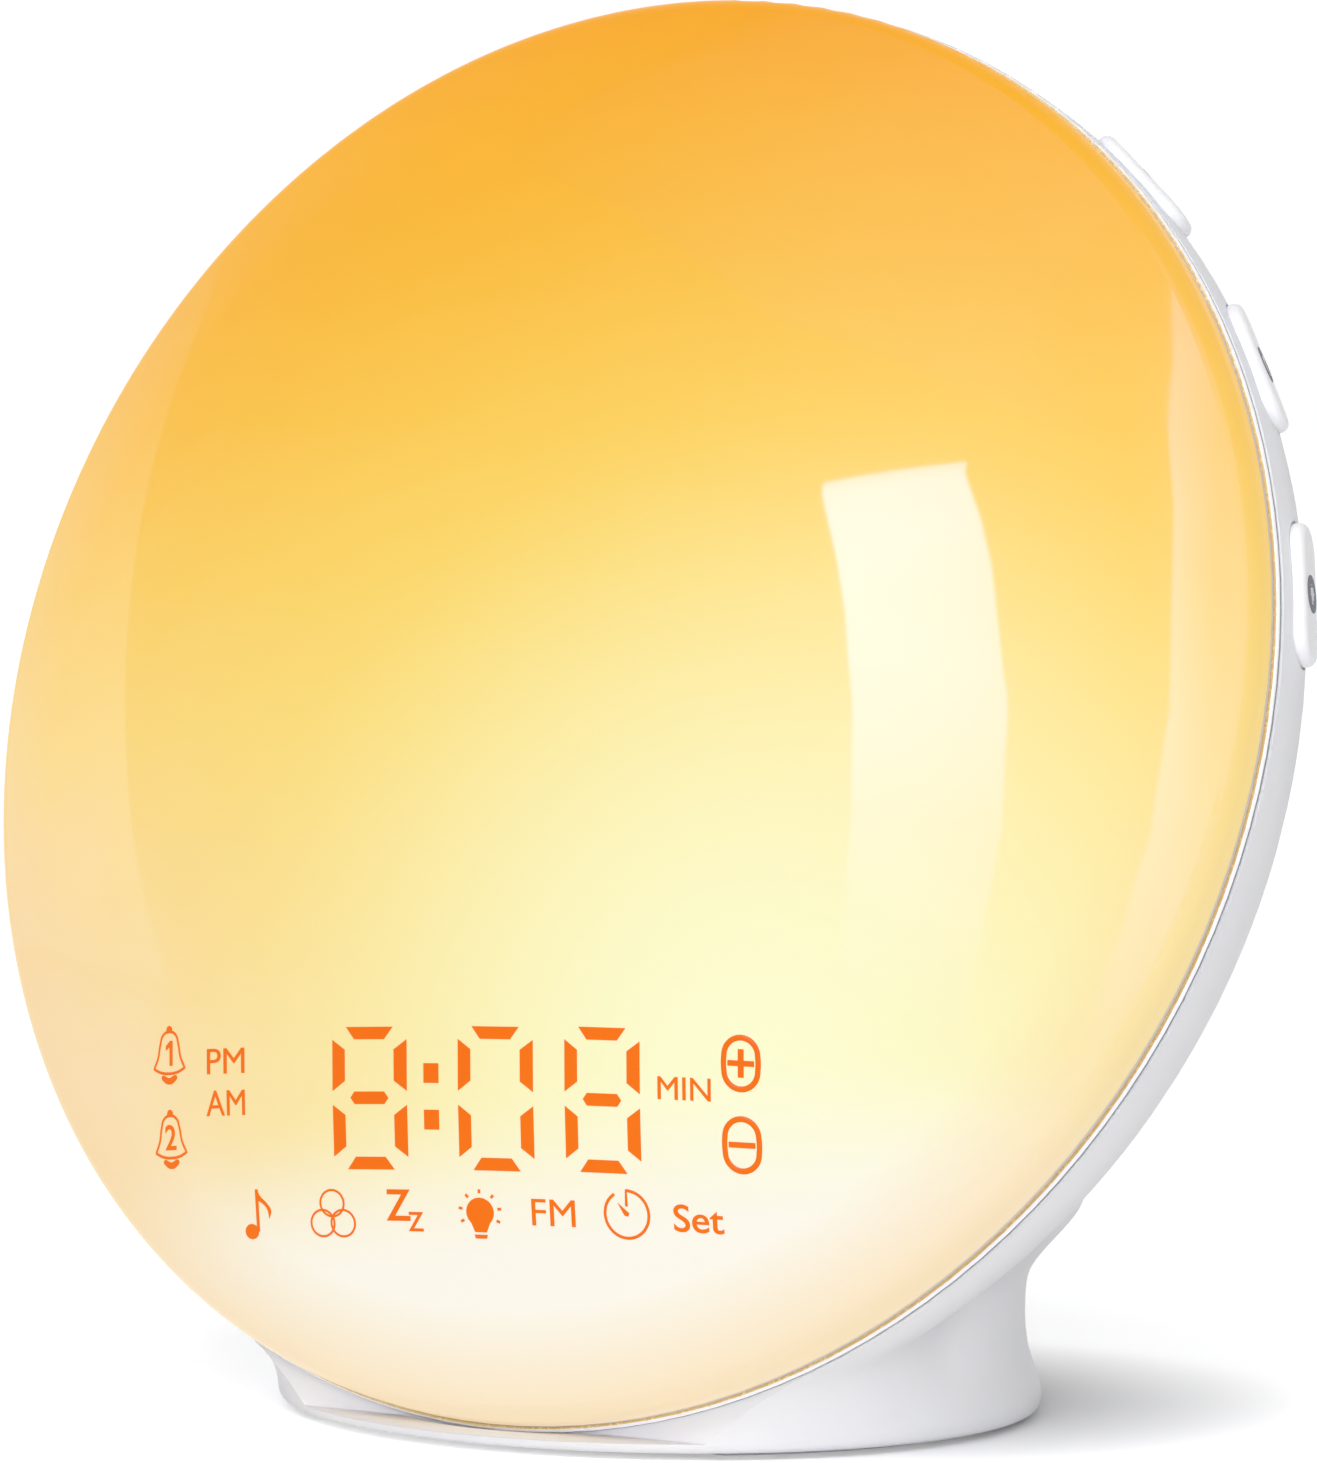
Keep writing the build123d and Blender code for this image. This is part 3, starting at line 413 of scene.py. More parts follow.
# White mouldings: what they share, and what each has of its own or instead
whiteLook = {"grain": 0.4 * mm, "spread": 0.14, "depth": 0.01 * mm, "bump": 0.5, "edgeWidth": 0.2 * mm,
             "edgeWear": 0.35, "dust": 0.12, "dustColour": (214, 208, 198), "dustRough": 0.3, "sockets": {}}
whites = {
    "housingMouldedWhite": {"colour": (240, 240, 241), "shade": (235, 235, 237), "roughness": 0.42,
                            "grain": 0.45 * mm, "depth": 0.02 * mm, "sockets": {"Specular IOR Level": 0.35}},
    "keyCapWhite": {"colour": (243, 243, 244), "shade": (238, 238, 240), "roughness": 0.3,
                    "grain": 0.5 * mm, "depth": 0.012 * mm,
                    "sockets": {"Coat Weight": 0.12, "Coat Roughness": 0.15}},
    "innerFrameWhite": {"colour": (236, 236, 232), "shade": (228, 228, 224), "roughness": 0.55,
                        "grain": 0.6 * mm, "depth": 0.03 * mm},
    "switchPlungerWhite": {"colour": (226, 226, 220), "shade": (214, 214, 208), "roughness": 0.4},
    "connectorCream": {"colour": (236, 226, 200), "shade": (226, 214, 186), "roughness": 0.45},
    "lampPackageWhite": {"colour": (244, 240, 214), "shade": (240, 232, 190), "roughness": 0.3,
                         "grain": 0.3 * mm},
    "lampBoardWhite": {"colour": (232, 234, 234), "shade": (222, 226, 226), "roughness": 0.35,
                       "grain": 0.8 * mm},
}


def makeWhitePlastic(name):
    look = {**whiteLook, **whites[name]}
    material, tree, shader = startMaterial(name, look["sockets"])
    grain = placeGrain(tree, look)
    edge = placeGroup(tree, softEdge, {"Width": look["edgeWidth"]})
    dust = placeGroup(tree, settledDust, {"Amount": look["dust"]}).outputs["Dust"]
    tone = mixColour(tree, dust, shadeToColour(tree, grain.outputs["Shade"], look), srgb(*look["dustColour"]))
    worn = mathOf(tree, "MULTIPLY", edge.outputs["Edge"], look["edgeWear"])
    rough = mathOf(tree, "ADD", grain.outputs["Roughness"],
                   mathOf(tree, "MULTIPLY", dust, look["dustRough"]), clamp=True)
    feed(tree, shader, {"Base Color": mixColour(tree, worn, tone, grey(1.0)), "Roughness": rough})
    bumpFrom(tree, shader, grain.outputs["Height"], look["depth"], look["bump"], edge.outputs["Normal"])
    return material


plastic = {name: makeWhitePlastic(name) for name in whites}

# Trim ring, by height on the disc: a painted amber glint of the lamp's light at the seam by the lens,
# a gloss white band, and painted shade in the groove
trimLook = {
    "seamGlintFrom": -0.36 * mm,
    "bandFrom": -0.66 * mm,
    "grooveFrom": -1.05 * mm,
    # painted amber glint of the lamp's light along the seam next to the lens
    "seamGlint": {"colour": (242, 214, 156), "shade": (232, 200, 134)},
    "seamGlintMetal": 0.2,
    "white": (244, 244, 246),
    # painted shade in the groove
    "grooveShade": (118, 122, 128),
    "line": 0.6 * mm,
    "lineRoughness": 0.24,
    "grain": 1.2 * mm,
    "roughness": 0.12,
    "spread": 0.08,
    "depth": 0.006 * mm,
    "bump": 0.4,
    "sockets": {"Coat Weight": 0.25, "Coat Roughness": 0.06},
}


def makeTrimMaterial():
    material, tree, shader = startMaterial("trimRingGloss", trimLook["sockets"])
    out = placeGroup(tree, discPlace).outputs["Out"]
    lines = placeGroup(tree, drawnLines, {"Line": trimLook["line"], "Roughness": trimLook["lineRoughness"]})
    grain = placeGrain(tree, trimLook)
    # The painted seam glint: the lamp's amber light at the seam, given a gold colour and a little metal
    inSeamGlint = mathOf(tree, "GREATER_THAN", out, trimLook["seamGlintFrom"])
    # Painted shade in the groove, between bandFrom and grooveFrom
    inGrooveShade = mathOf(tree, "MULTIPLY", mathOf(tree, "LESS_THAN", out, trimLook["bandFrom"]),
                      mathOf(tree, "GREATER_THAN", out, trimLook["grooveFrom"]))
    tone = mixColour(tree, inGrooveShade, srgb(*trimLook["white"]), srgb(*trimLook["grooveShade"]))
    tone = mixColour(tree, inSeamGlint, tone, shadeToColour(tree, lines.outputs["Shade"], trimLook["seamGlint"]))
    rough = addNode(tree, "ShaderNodeMix", {0: inSeamGlint, 2: grain.outputs["Roughness"],
                                            3: lines.outputs["Roughness"]}).outputs[0]
    feed(tree, shader, {"Base Color": tone, "Roughness": rough,
                        "Metallic": mathOf(tree, "MULTIPLY", inSeamGlint, trimLook["seamGlintMetal"])})
    bumpFrom(tree, shader, grain.outputs["Height"], trimLook["depth"], trimLook["bump"])
    return material


trimMaterial = makeTrimMaterial()

# Metals: what they share, and what each has of its own
metalLook = {"edgeWidth": 0.12 * mm, "spotScale": 700.0, "spotFrom": 0.5, "spotFull": 0.75,
             "stainColour": (112, 104, 92), "stainDull": 0.5, "depth": 0.008 * mm, "bump": 0.5}
metals = {
    "zincPlatedSteel": {"colour": (196, 198, 202), "shade": (160, 163, 168), "line": 0.25 * mm,
                        "roughness": 0.28, "tarnish": 0.15},
    "magnetCan": {"colour": (150, 152, 156), "shade": (112, 114, 118), "line": 0.6 * mm,
                  "roughness": 0.4, "tarnish": 0.35},
    "nickelShell": {"colour": (208, 206, 200), "shade": (178, 176, 170), "line": 0.3 * mm,
                    "roughness": 0.22, "tarnish": 0.08},
}


def makeMetal(name):
    look = {**metalLook, **metals[name]}
    material, tree, shader = startMaterial(name, {})
    lines = placeGroup(tree, drawnLines, {"Line": look["line"], "Roughness": look["roughness"]})
    edge = placeGroup(tree, softEdge, {"Width": look["edgeWidth"]})
    spots = addNode(tree, "ShaderNodeTexNoise", {"Scale": look["spotScale"], "Detail": 4.0}).outputs["Fac"]
    stain = mathOf(tree, "MULTIPLY", ramp(tree, spots, look["spotFrom"], look["spotFull"]), look["tarnish"])
    bare = mathOf(tree, "SUBTRACT", 1.0, mathOf(tree, "MULTIPLY", stain, look["stainDull"]))
    tone = mixColour(tree, stain, shadeToColour(tree, lines.outputs["Shade"], look), srgb(*look["stainColour"]))
    feed(tree, shader, {"Base Color": tone, "Metallic": bare, "Roughness": lines.outputs["Roughness"]})
    bumpFrom(tree, shader, lines.outputs["Height"], look["depth"], look["bump"], edge.outputs["Normal"])
    return material


metal = {name: makeMetal(name) for name in metals}

# Foot ring and gasket
rubberLook = {"colour": (210, 210, 212), "shade": (196, 196, 198), "dustColour": (225, 222, 216), "dust": 0.4,
              "speck": 1.0 * mm, "grain": 0.5 * mm, "roughness": 0.82, "spread": 0.14, "depth": 0.04 * mm,
              "bump": 0.7, "sockets": {"Specular IOR Level": 0.3}}


def makeRubber():
    material, tree, shader = startMaterial("footRubberGrey", rubberLook["sockets"])
    tone = shadeToColour(tree, grainUnder(tree, shader, rubberLook), rubberLook)
    dust = placeGroup(tree, settledDust, {"Amount": rubberLook["dust"], "Speck": rubberLook["speck"]})
    feed(tree, shader, {"Base Color": mixColour(tree, dust.outputs["Dust"], tone,
                                                srgb(*rubberLook["dustColour"]))})
    return material


rubberMaterial = makeRubber()

# Sockets, switches and chips
blackLook = {"colour": (36, 36, 39), "shade": (26, 26, 28), "edgeColour": (78, 78, 82), "edgeWidth": 0.15 * mm,
             "edgeWear": 0.5, "grain": 0.3 * mm, "roughness": 0.38, "spread": 0.2, "depth": 0.015 * mm,
             "bump": 0.5}


def makeBlackPlastic():
    material, tree, shader = startMaterial("socketBlackPlastic", {})
    edge = placeGroup(tree, softEdge, {"Width": blackLook["edgeWidth"]})
    tone = shadeToColour(tree, grainUnder(tree, shader, blackLook, edge.outputs["Normal"]), blackLook)
    worn = mathOf(tree, "MULTIPLY", edge.outputs["Edge"], blackLook["edgeWear"])
    feed(tree, shader, {"Base Color": mixColour(tree, worn, tone, srgb(*blackLook["edgeColour"]))})
    return material


blackMaterial = makeBlackPlastic()

# Circuit boards
boardLook = {"colour": (30, 98, 56), "shade": (22, 84, 48), "track": (70, 140, 84), "trackShare": 0.5,
             "pad": (196, 190, 168), "padMetal": 0.8, "grain": 0.4 * mm, "roughness": 0.38, "spread": 0.12,
             "depth": 0.02 * mm, "bump": 0.5, "sockets": {"Coat Weight": 0.4, "Coat Roughness": 0.2}}


def makeBoardMaterial():
    material, tree, shader = startMaterial("circuitBoardGreen", boardLook["sockets"])
    track, pad = placeGroup(tree, copperTracks).outputs
    grain = placeGrain(tree, boardLook)
    tone = shadeToColour(tree, grain.outputs["Shade"], boardLook)
    tone = mixColour(tree, mathOf(tree, "MULTIPLY", track, boardLook["trackShare"]), tone,
                     srgb(*boardLook["track"]))
    feed(tree, shader, {"Base Color": mixColour(tree, pad, tone, srgb(*boardLook["pad"])),
                        "Metallic": mathOf(tree, "MULTIPLY", pad, boardLook["padMetal"]),
                        "Roughness": grain.outputs["Roughness"]})
    bumpFrom(tree, shader, track, boardLook["depth"], boardLook["bump"])
    return material


boardMaterial = makeBoardMaterial()

# Speaker cone
coneLook = {"colour": (52, 51, 50), "shade": (24, 24, 25), "fibreScale": 900.0, "fibreBend": 1.5,
            "grain": 1.2 * mm, "roughness": 0.86, "spread": 0.1, "depth": 0.06 * mm, "bump": 0.6,
            "sockets": {"Sheen Weight": 0.2}}


def makePaperCone():
    material, tree, shader = startMaterial("speakerPaperCone", coneLook["sockets"])
    fibres = addNode(tree, "ShaderNodeTexNoise", {"Scale": coneLook["fibreScale"], "Detail": 6.0,
                                                  "Distortion": coneLook["fibreBend"]}).outputs["Fac"]
    grain = placeGrain(tree, coneLook)
    feed(tree, shader, {"Base Color": shadeToColour(tree, fibres, coneLook),
                        "Roughness": grain.outputs["Roughness"]})
    bumpFrom(tree, shader, fibres, coneLook["depth"], coneLook["bump"])
    return material


coneMaterial = makePaperCone()

# Diffuser sheet behind the lens
diffuserLook = {"white": (240, 238, 230), "whiteShare": 0.5, "grain": 0.5 * mm, "roughness": 0.6,
                "spread": 0.1, "depth": 0.02 * mm, "bump": 0.5, "sockets": {"Emission Strength": 0.5}}


def makeDiffuserMaterial():
    material, tree, shader = startMaterial("lampDiffuserSheet", diffuserLook["sockets"])
    colour = placeGroup(tree, sunriseGlow, {"Ripple": sunrise["sheetRipple"]}).outputs["Colour"]
    feed(tree, shader, {"Base Color": mixColour(tree, diffuserLook["whiteShare"], colour,
                                                srgb(*diffuserLook["white"])), "Emission Color": colour})
    grainUnder(tree, shader, diffuserLook)
    return material


diffuserMaterial = makeDiffuserMaterial()

# Each node's finish
keyRows = [side + "_" + str(row) for side in ("left", "right") for row in (1, 2, 3)]
finishes = (
    (lensMaterial, ["front_lens"]),
    (trimMaterial, ["trim_ring"]),
    (plastic["housingMouldedWhite"], ["rear_housing", "base_plate", "battery_cover", "speaker_grille"]),
    (plastic["keyCapWhite"], ["key_cap_" + row for row in keyRows]),
    (plastic["switchPlungerWhite"], ["switch_plunger_" + row for row in keyRows]),
    (plastic["innerFrameWhite"], ["front_frame", "display_lightbox", "key_bracket_left", "key_bracket_right",
                                  "cell_holder"]),
    (diffuserMaterial, ["diffuser_sheet"]),
    (plastic["lampBoardWhite"], ["led_board", "display_board"]),
    (boardMaterial, ["main_board", "power_board", "switch_boards_left", "switch_boards_right"]),
    (plastic["lampPackageWhite"], ["sunrise_leds", "display_leds"]),
    (metal["zincPlatedSteel"], ["housing_screws", "base_screws", "led_board_screws", "bracket_screws",
                                "main_board_screws", "speaker_screws", "power_board_screws", "coin_cell",
                                "speaker_basket"]),
    (metal["nickelShell"], ["usb_port", "cell_contact", "touch_springs", "radio_module", "dc_jack_pin"]),
    (metal["magnetCan"], ["speaker_magnet"]),
    (rubberMaterial, ["foot_ring", "speaker_gasket"]),
    (blackMaterial, ["dc_jack", "usb_tongue", "microcontroller", "capacitors", "switch_bodies_left",
                     "switch_bodies_right"]),
    (plastic["connectorCream"], ["board_connectors", "display_ribbon", "speaker_lead", "power_lead"]),
    (coneMaterial, ["speaker_cone"]),
)
finished = set()
for material, names in finishes:
    for name in names:
        finished.add(name)
        slots = nodes[name].data.materials
        for index in range(len(slots)):
            slots[index] = material
print("materials on", len(finished), "nodes, bare:", sorted(set(nodes) - finished))

# Shapes are drawn flat in millimetres, then laid on the dome or on a key
drawing = {
    "flatDepth": 0.045,         # half thickness of a filled shape
    "beadFlat": 0.25,           # how far a round line is pressed flat
    "curveSteps": 8,
    "bevelSteps": 2,
    "letterHeight": 4.0,
    "letterSteps": 6,
    "weldGap": 0.002,
}


def meshOf(curve):
    holder = addObject(curve.name, curve)
    drawn = holder.evaluated_get(bpy.context.evaluated_depsgraph_get())
    mesh = bpy.data.meshes.new_from_object(drawn)
    bpy.data.objects.remove(holder)
    bpy.data.curves.remove(curve)
    return mesh


def addSpline(curve, points, closed, sharp):
    spline = curve.splines.new("BEZIER")
    spline.bezier_points.add(len(points) - 1)
    for knot, point in zip(spline.bezier_points, points):
        knot.co = (point[0], point[1], 0)
        kind = "VECTOR" if sharp or len(point) > 2 else "AUTO"
        knot.handle_left_type = knot.handle_right_type = kind
    spline.use_cyclic_u = closed


# A line of round section; a point with a third value is a corner
def line(points, width, closed=False, sharp=False):
    curve = bpy.data.curves.new("line", "CURVE")
    curve.dimensions = "3D"
    curve.resolution_u = drawing["curveSteps"]
    curve.bevel_depth = width / 2
    curve.bevel_resolution = drawing["bevelSteps"]
    curve.use_fill_caps = True
    addSpline(curve, points, closed, sharp)
    mesh = meshOf(curve)
    mesh.transform(Matrix.Diagonal((1, 1, drawing["beadFlat"], 1)))
    return mesh


def fill(points, sharp=True):
    curve = bpy.data.curves.new("fill", "CURVE")
    curve.dimensions = "2D"
    curve.fill_mode = "BOTH"
    curve.extrude = drawing["flatDepth"]
    curve.resolution_u = drawing["curveSteps"]
    addSpline(curve, points, True, sharp)
    return meshOf(curve)


def ring(centreX, centreY, radius, steps=8, start=0.0, sweep=360.0):
    whole = sweep >= 360
    count = steps if whole else steps + 1
    return [(centreX + radius * math.cos(math.radians(start + sweep * step / steps)),
             centreY + radius * math.sin(math.radians(start + sweep * step / steps))) for step in range(count)]


def rays(turns, inner, outer, width, up=0.0):
    parts = []
    for turn in turns:
        angle = math.radians(turn)
        parts.append(line([(inner * math.cos(angle), up + inner * math.sin(angle)),
                           (outer * math.cos(angle), up + outer * math.sin(angle))], width, sharp=True))
    return parts


def words(text, weight):
    curve = bpy.data.curves.new("words", "FONT")
    curve.body = text
    curve.size = drawing["letterHeight"]
    curve.extrude = drawing["flatDepth"]
    curve.offset = weight
    curve.resolution_u = drawing["letterSteps"]
    return meshOf(curve)


def moved(mesh, x, y, scale):
    mesh.transform(Matrix.Translation((x, y, 0)) @ Matrix.Diagonal((scale, scale, 1, 1)))
    return mesh


# Joins drawn parts, fits them to a width and height, and lays them where pointAt says
def layShape(name, parts, size, place, pointAt, material, body):
    shape = bmesh.new()
    for part in parts:
        shape.from_mesh(part)
        bpy.data.meshes.remove(part)
    xs = [vertex.co.x for vertex in shape.verts]
    ys = [vertex.co.y for vertex in shape.verts]
    scaleX = size[0] / (max(xs) - min(xs))
    scaleY = size[1] / (max(ys) - min(ys))
    middleX, middleY = (max(xs) + min(xs)) / 2, (max(ys) + min(ys)) / 2
    bmesh.ops.remove_doubles(shape, verts=shape.verts, dist=drawing["weldGap"])
    for vertex in shape.verts:
        x = place[0] + (vertex.co.x - middleX) * scaleX
        y = place[1] + (vertex.co.y - middleY) * scaleY
        vertex.co = pointAt(x * mm, y * mm, vertex.co.z * mm)
    bmesh.ops.recalc_face_normals(shape, faces=shape.faces)
    mesh = bpy.data.meshes.new(name)
    shape.to_mesh(mesh)
    shape.free()
    mesh.materials.append(material)
    piece = addObject(name, mesh)
    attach(piece, body)


# The dial is turned a little on the dome, about a point on the disc's middle line
dialLay = {
    "lift": 0.055 * mm,         # to the middle of a symbol's thickness
    "turn": math.radians(2.3),
    "middle": -56.0 * mm,
}


def onDome(x, y, height):
    y -= dialLay["middle"]
    turnSin, turnCos = math.sin(dialLay["turn"]), math.cos(dialLay["turn"])
    return domePoint(x * turnCos - y * turnSin, dialLay["middle"] + x * turnSin + y * turnCos,
                     dialLay["lift"] + height)


def laySymbol(name, parts, size, place):
    layShape(name, parts, size, place, onDome, symbolMaterial, "housing")


# Time display: separate bars, as a segment display lights them
timeDisplay = {
    "figures": (("hour", 8, (-13.4, -51.9), 11.0), ("tenMinutes", 0, (4.5, -51.8), 10.2),
                ("minutes", 8, (18.6, -51.6), 9.6)),       # the last value is the width
    "size": (11.0, 16.0),
    "colon": (-4.4, -51.7),
    "colonRise": 2.6,
    "colonSize": (2.1, 2.2),
    "stand": 1.85,              # width of an upright bar
    "standEnds": (0.10, 0.24, 0.68, 0.82),      # heights of its corners, as shares of half the figure
    "lie": 1.4,                 # height of a lying bar
    "lieEnds": (3.45, 2.2),     # half its length outside and inside
    "middleTip": 2.8,
}


def uprightBar(side, sign):
    outer = timeDisplay["size"][0] / 2
    inner = outer - timeDisplay["stand"]
    half = timeDisplay["size"][1] / 2
    return [(side * reach, sign * share * half)
            for reach, share in zip((outer, inner, inner, outer), timeDisplay["standEnds"])]


def lyingBar(sign):
    half = timeDisplay["size"][1] / 2
    inner = sign * (half - timeDisplay["lie"])
    wide, narrow = timeDisplay["lieEnds"]
    return [(-wide, sign * half), (-narrow, inner), (narrow, inner), (wide, sign * half)]


def figureBars(figure):
    bars = [fill(uprightBar(side, sign)) for side in (-1, 1) for sign in (1, -1)]
    bars += [fill(lyingBar(1)), fill(lyingBar(-1))]
    if figure == 8:
        half, tip, narrow = timeDisplay["lie"] / 2, timeDisplay["middleTip"], timeDisplay["lieEnds"][1]
        bars.append(fill([(-tip, 0), (-narrow, half), (narrow, half), (tip, 0), (narrow, -half),
                          (-narrow, -half)]))
    return bars


for name, figure, place, wide in timeDisplay["figures"]:
    laySymbol("figure_" + name, figureBars(figure), (wide, timeDisplay["size"][1]), place)
for name, sign in (("upper", 1), ("lower", -1)):
    square = fill([(-1, -1), (1, -1), (1, 1), (-1, 1)])
    laySymbol("colon_" + name, [square], timeDisplay["colonSize"],
              (timeDisplay["colon"][0], timeDisplay["colon"][1] + sign * timeDisplay["colonRise"]))
print("time display laid")

# Alarm bells with their number, and the words beside them
bells = {
    "places": ((1, (-45.9, -46.4), 1.15), (2, (-45.9, -56.1), 1.9)),     # the last value is the number's width
    "size": (5.8, 6.8),
    "lineWidth": 0.34,
    "numberHeight": 2.9,
    "numberRise": 0.2,
    "numberWeight": 0.05,
}


def bellParts():
    skirt = [(0, 2.25), (1.15, 1.85), (1.62, 0.8), (2.0, -0.7), (2.75, -2.0, 1), (1.5, -2.45), (0, -2.6)]
    mirrored = [(-point[0], *point[1:]) for point in reversed(skirt[1:-1])]
    outline = line(skirt + mirrored, bells["lineWidth"], closed=True)
    knob = fill(ring(0, 2.45, 0.5, 8, 0, 180) + [(-0.5, 2.3), (0.5, 2.3)])
    clapper = fill([(-1.35, -2.95), (0, -3.1), (1.35, -2.95), (0.85, -3.6), (0, -3.85), (-0.85, -3.6)],
                   sharp=False)
    return [outline, knob, clapper]


def numberOne():
    return fill([(0, -1.45), (0.5, -1.45), (0.5, 1.45), (0.1, 1.45), (-0.65, 0.85), (-0.65, 0.35), (0, 0.75)])


for number, place, wide in bells["places"]:
    laySymbol("alarm_bell_" + str(number), bellParts(), bells["size"], place)
    shape = numberOne() if number == 1 else words(str(number), bells["numberWeight"])
    laySymbol("alarm_number_" + str(number), [shape], (wide, bells["numberHeight"]),
              (place[0], place[1] + bells["numberRise"]))

# Name, text, place, size and weight
dialWords = (
    ("afternoon", "PM", (-36.1, -47.4), (6.3, 2.9), -0.01),
    ("morning", "AM", (-36.2, -52.2), (6.5, 2.9), -0.01),
    ("minute", "MIN", (28.9, -50.0), (6.5, 2.5), 0.0),
    ("radio", "FM", (11.8, -64.2), (5.7, 2.9), -0.01),
    ("set", "Set", (30.2, -64.1), (6.1, 3.0), 0.03),
)
for name, text, place, size, weight in dialWords:
    laySymbol("word_" + name, [words(text, weight)], size, place)
print("bells and words laid")

# Plus and minus in upright ovals
stepMarks = {
    "size": (4.8, 6.3),
    "x": 35.8,
    "rows": (("plus", -46.9), ("minus", -55.8)),
    "lineWidth": 0.66,
    "oval": (2.05, 2.9),        # half width and half height
    "lying": (1.6, 0.32),
    "standing": (0.34, 0.3, 1.6),       # half width, then where a half of the upright starts and ends
}


def upright(halfWidth, halfHeight):
    straight = halfHeight - halfWidth
    return ring(0, straight, halfWidth, 8, 0, 180) + ring(0, -straight, halfWidth, 8, 180, 180)


def stepParts(withUpright):
    wide, thick = stepMarks["lying"]
    parts = [line(upright(*stepMarks["oval"]), stepMarks["lineWidth"], closed=True),
             fill([(-wide, -thick), (wide, -thick), (wide, thick), (-wide, thick)])]
    half, near, far = stepMarks["standing"]
    for sign in (-1, 1) if withUpright else ():
        parts.append(fill([(-half, sign * near), (half, sign * near), (half, sign * far), (-half, sign * far)]))
    return parts


for name, row in stepMarks["rows"]:
    laySymbol("step_" + name, stepParts(name == "plus"), stepMarks["size"], (stepMarks["x"], row))


# Touch symbols along the bottom row
def noteParts():
    head = fill(ring(-0.75, -2.0, 0.85, 12))
    stem = fill([(-0.12, -2.0), (0.22, -2.0), (0.22, 2.6), (-0.12, 2.6)])
    flag = fill([(0.1, 2.6, 1), (0.45, 1.9), (1.2, 1.15), (1.75, 0.3), (1.5, -0.6, 1), (1.3, 0.4), (0.85, 0.95),
                 (0.1, 1.4, 1)], sharp=False)
    return [head, stem, flag]


def lightRingParts():
    return [line(ring(x, y, 1.35, 12), 0.24, closed=True) for x, y in ((0, 1.15), (-1.18, -0.9), (1.18, -0.9))]


def snoozeParts():
    return [words("Z", 0.05), moved(words("Z", 0.04), 2.35, -0.95, 0.62)]


def bulbParts():
    glass = fill(ring(0, 0.5, 1.5, 16, -48, 276) + [(-0.62, -1.55), (0.62, -1.55)])
    foot = fill([(-0.7, -1.8), (0.7, -1.8), (0.6, -2.2), (-0.6, -2.2)])
    return [glass, foot] + rays((-25, 10, 50, 90, 130, 170, 205), 1.95, 2.35, 0.3, 0.5)


def timerParts():
    dial = line([(0, 0.7, 1), (0, 2.1, 1)] + ring(0, 0, 2.1, 14, 83, -320), 0.28)
    hand = fill([(-0.22, -0.12), (0.12, -0.2), (0.22, 0.12), (-0.85, 1.0)])
    return [dial, hand]


touchRow = (
    ("note", noteParts, (-31.5, -64.9), (4.4, 5.6)),
    ("light_rings", lightRingParts, (-19.6, -64.8), (7.0, 5.4)),
    ("snooze", snoozeParts, (-8.8, -64.4), (5.3, 4.6)),
    ("bulb", bulbParts, (1.9, -64.6), (5.9, 5.4)),
    ("timer", timerParts, (21.3, -64.0), (5.9, 5.5)),
)
for name, drawParts, place, size in touchRow:
    laySymbol("touch_" + name, drawParts(), size, place)
print("touch symbols laid")

# Key symbols: a dark printed dot with a pale figure, one on each key
keyMarks = {
    "dot": (4.4, 4.4),
    "figure": (2.4, 2.4),
    "lift": 0.03 * mm,
    "stack": 0.03 * mm,         # the figure stands this much higher than its dot
    "flatWithin": 0.02 * mm,    # how level a key's top is
}
inkLook = {"grain": 0.25 * mm, "roughness": 0.5, "spread": 0.15, "depth": 0.01 * mm, "bump": 0.5,
           "sockets": {"Specular IOR Level": 0.4}}
inks = {
    "keyPrintGrey": {"colour": (104, 104, 110), "shade": (88, 88, 94)},
    "keyPrintPale": {"colour": (226, 226, 228), "shade": (212, 212, 216)},
}


def makeInk(name):
    material, tree, shader = startMaterial(name, inkLook["sockets"])
    feed(tree, shader, {"Base Color": shadeToColour(tree, grainUnder(tree, shader, inkLook), inks[name])})
    return material


darkInk = makeInk("keyPrintGrey")
paleInk = makeInk("keyPrintPale")


def sunParts():
    return [fill(ring(0, 0, 0.9, 12))] + rays(range(0, 360, 45), 1.35, 1.9, 0.35)


def moonParts():
    return [fill(ring(0, 0, 1.7, 16, 60, 240) + ring(0.75, 0, 1.5, 12, 260, -160))]


def speakerParts():
    box = fill([(-1.7, -0.6), (-0.9, -0.6), (0.1, -1.5), (0.1, 1.5), (-0.9, 0.6), (-1.7, 0.6)])
    return [box, line(ring(0.1, 0, 1.0, 6, -50, 100), 0.3), line(ring(0.1, 0, 1.7, 8, -50, 100), 0.3)]


def bellMark():
    return [fill([(-1.5, -1.2), (-1.0, -0.6), (-0.9, 0.5), (0, 1.6), (0.9, 0.5), (1.0, -0.6), (1.5, -1.2)],
                 sharp=False), fill(ring(0, -1.5, 0.4, 8))]


keyFigures = {
    "key_right_1": sunParts, "key_right_2": moonParts, "key_right_3": bulbParts,
    "key_left_1": noteParts, "key_left_2": speakerParts, "key_left_3": bellMark,
}


# The flat top of a key: its middle and its own directions, read from the cap's mesh
def keyTop(key):
    press = next(joint["axis"] for joint in frame["joints"] if joint["child"] == key)
    outward = -Vector(press).normalized()
    corners = [vertex.co for vertex in nodes[key.replace("key_", "key_cap_")].data.vertices]
    highest = max(corner.dot(outward) for corner in corners)
    flat = [corner for corner in corners if highest - corner.dot(outward) < keyMarks["flatWithin"]]
    middle = sum(flat, Vector()) / len(flat)
    radial = (middle - discCentre).normalized()
    along = outAxis.cross(radial).normalized()
    if along.z < 0:
        along = -along
    along = (along - along.dot(outward) * outward).normalized()
    return middle, along.cross(outward), along, outward


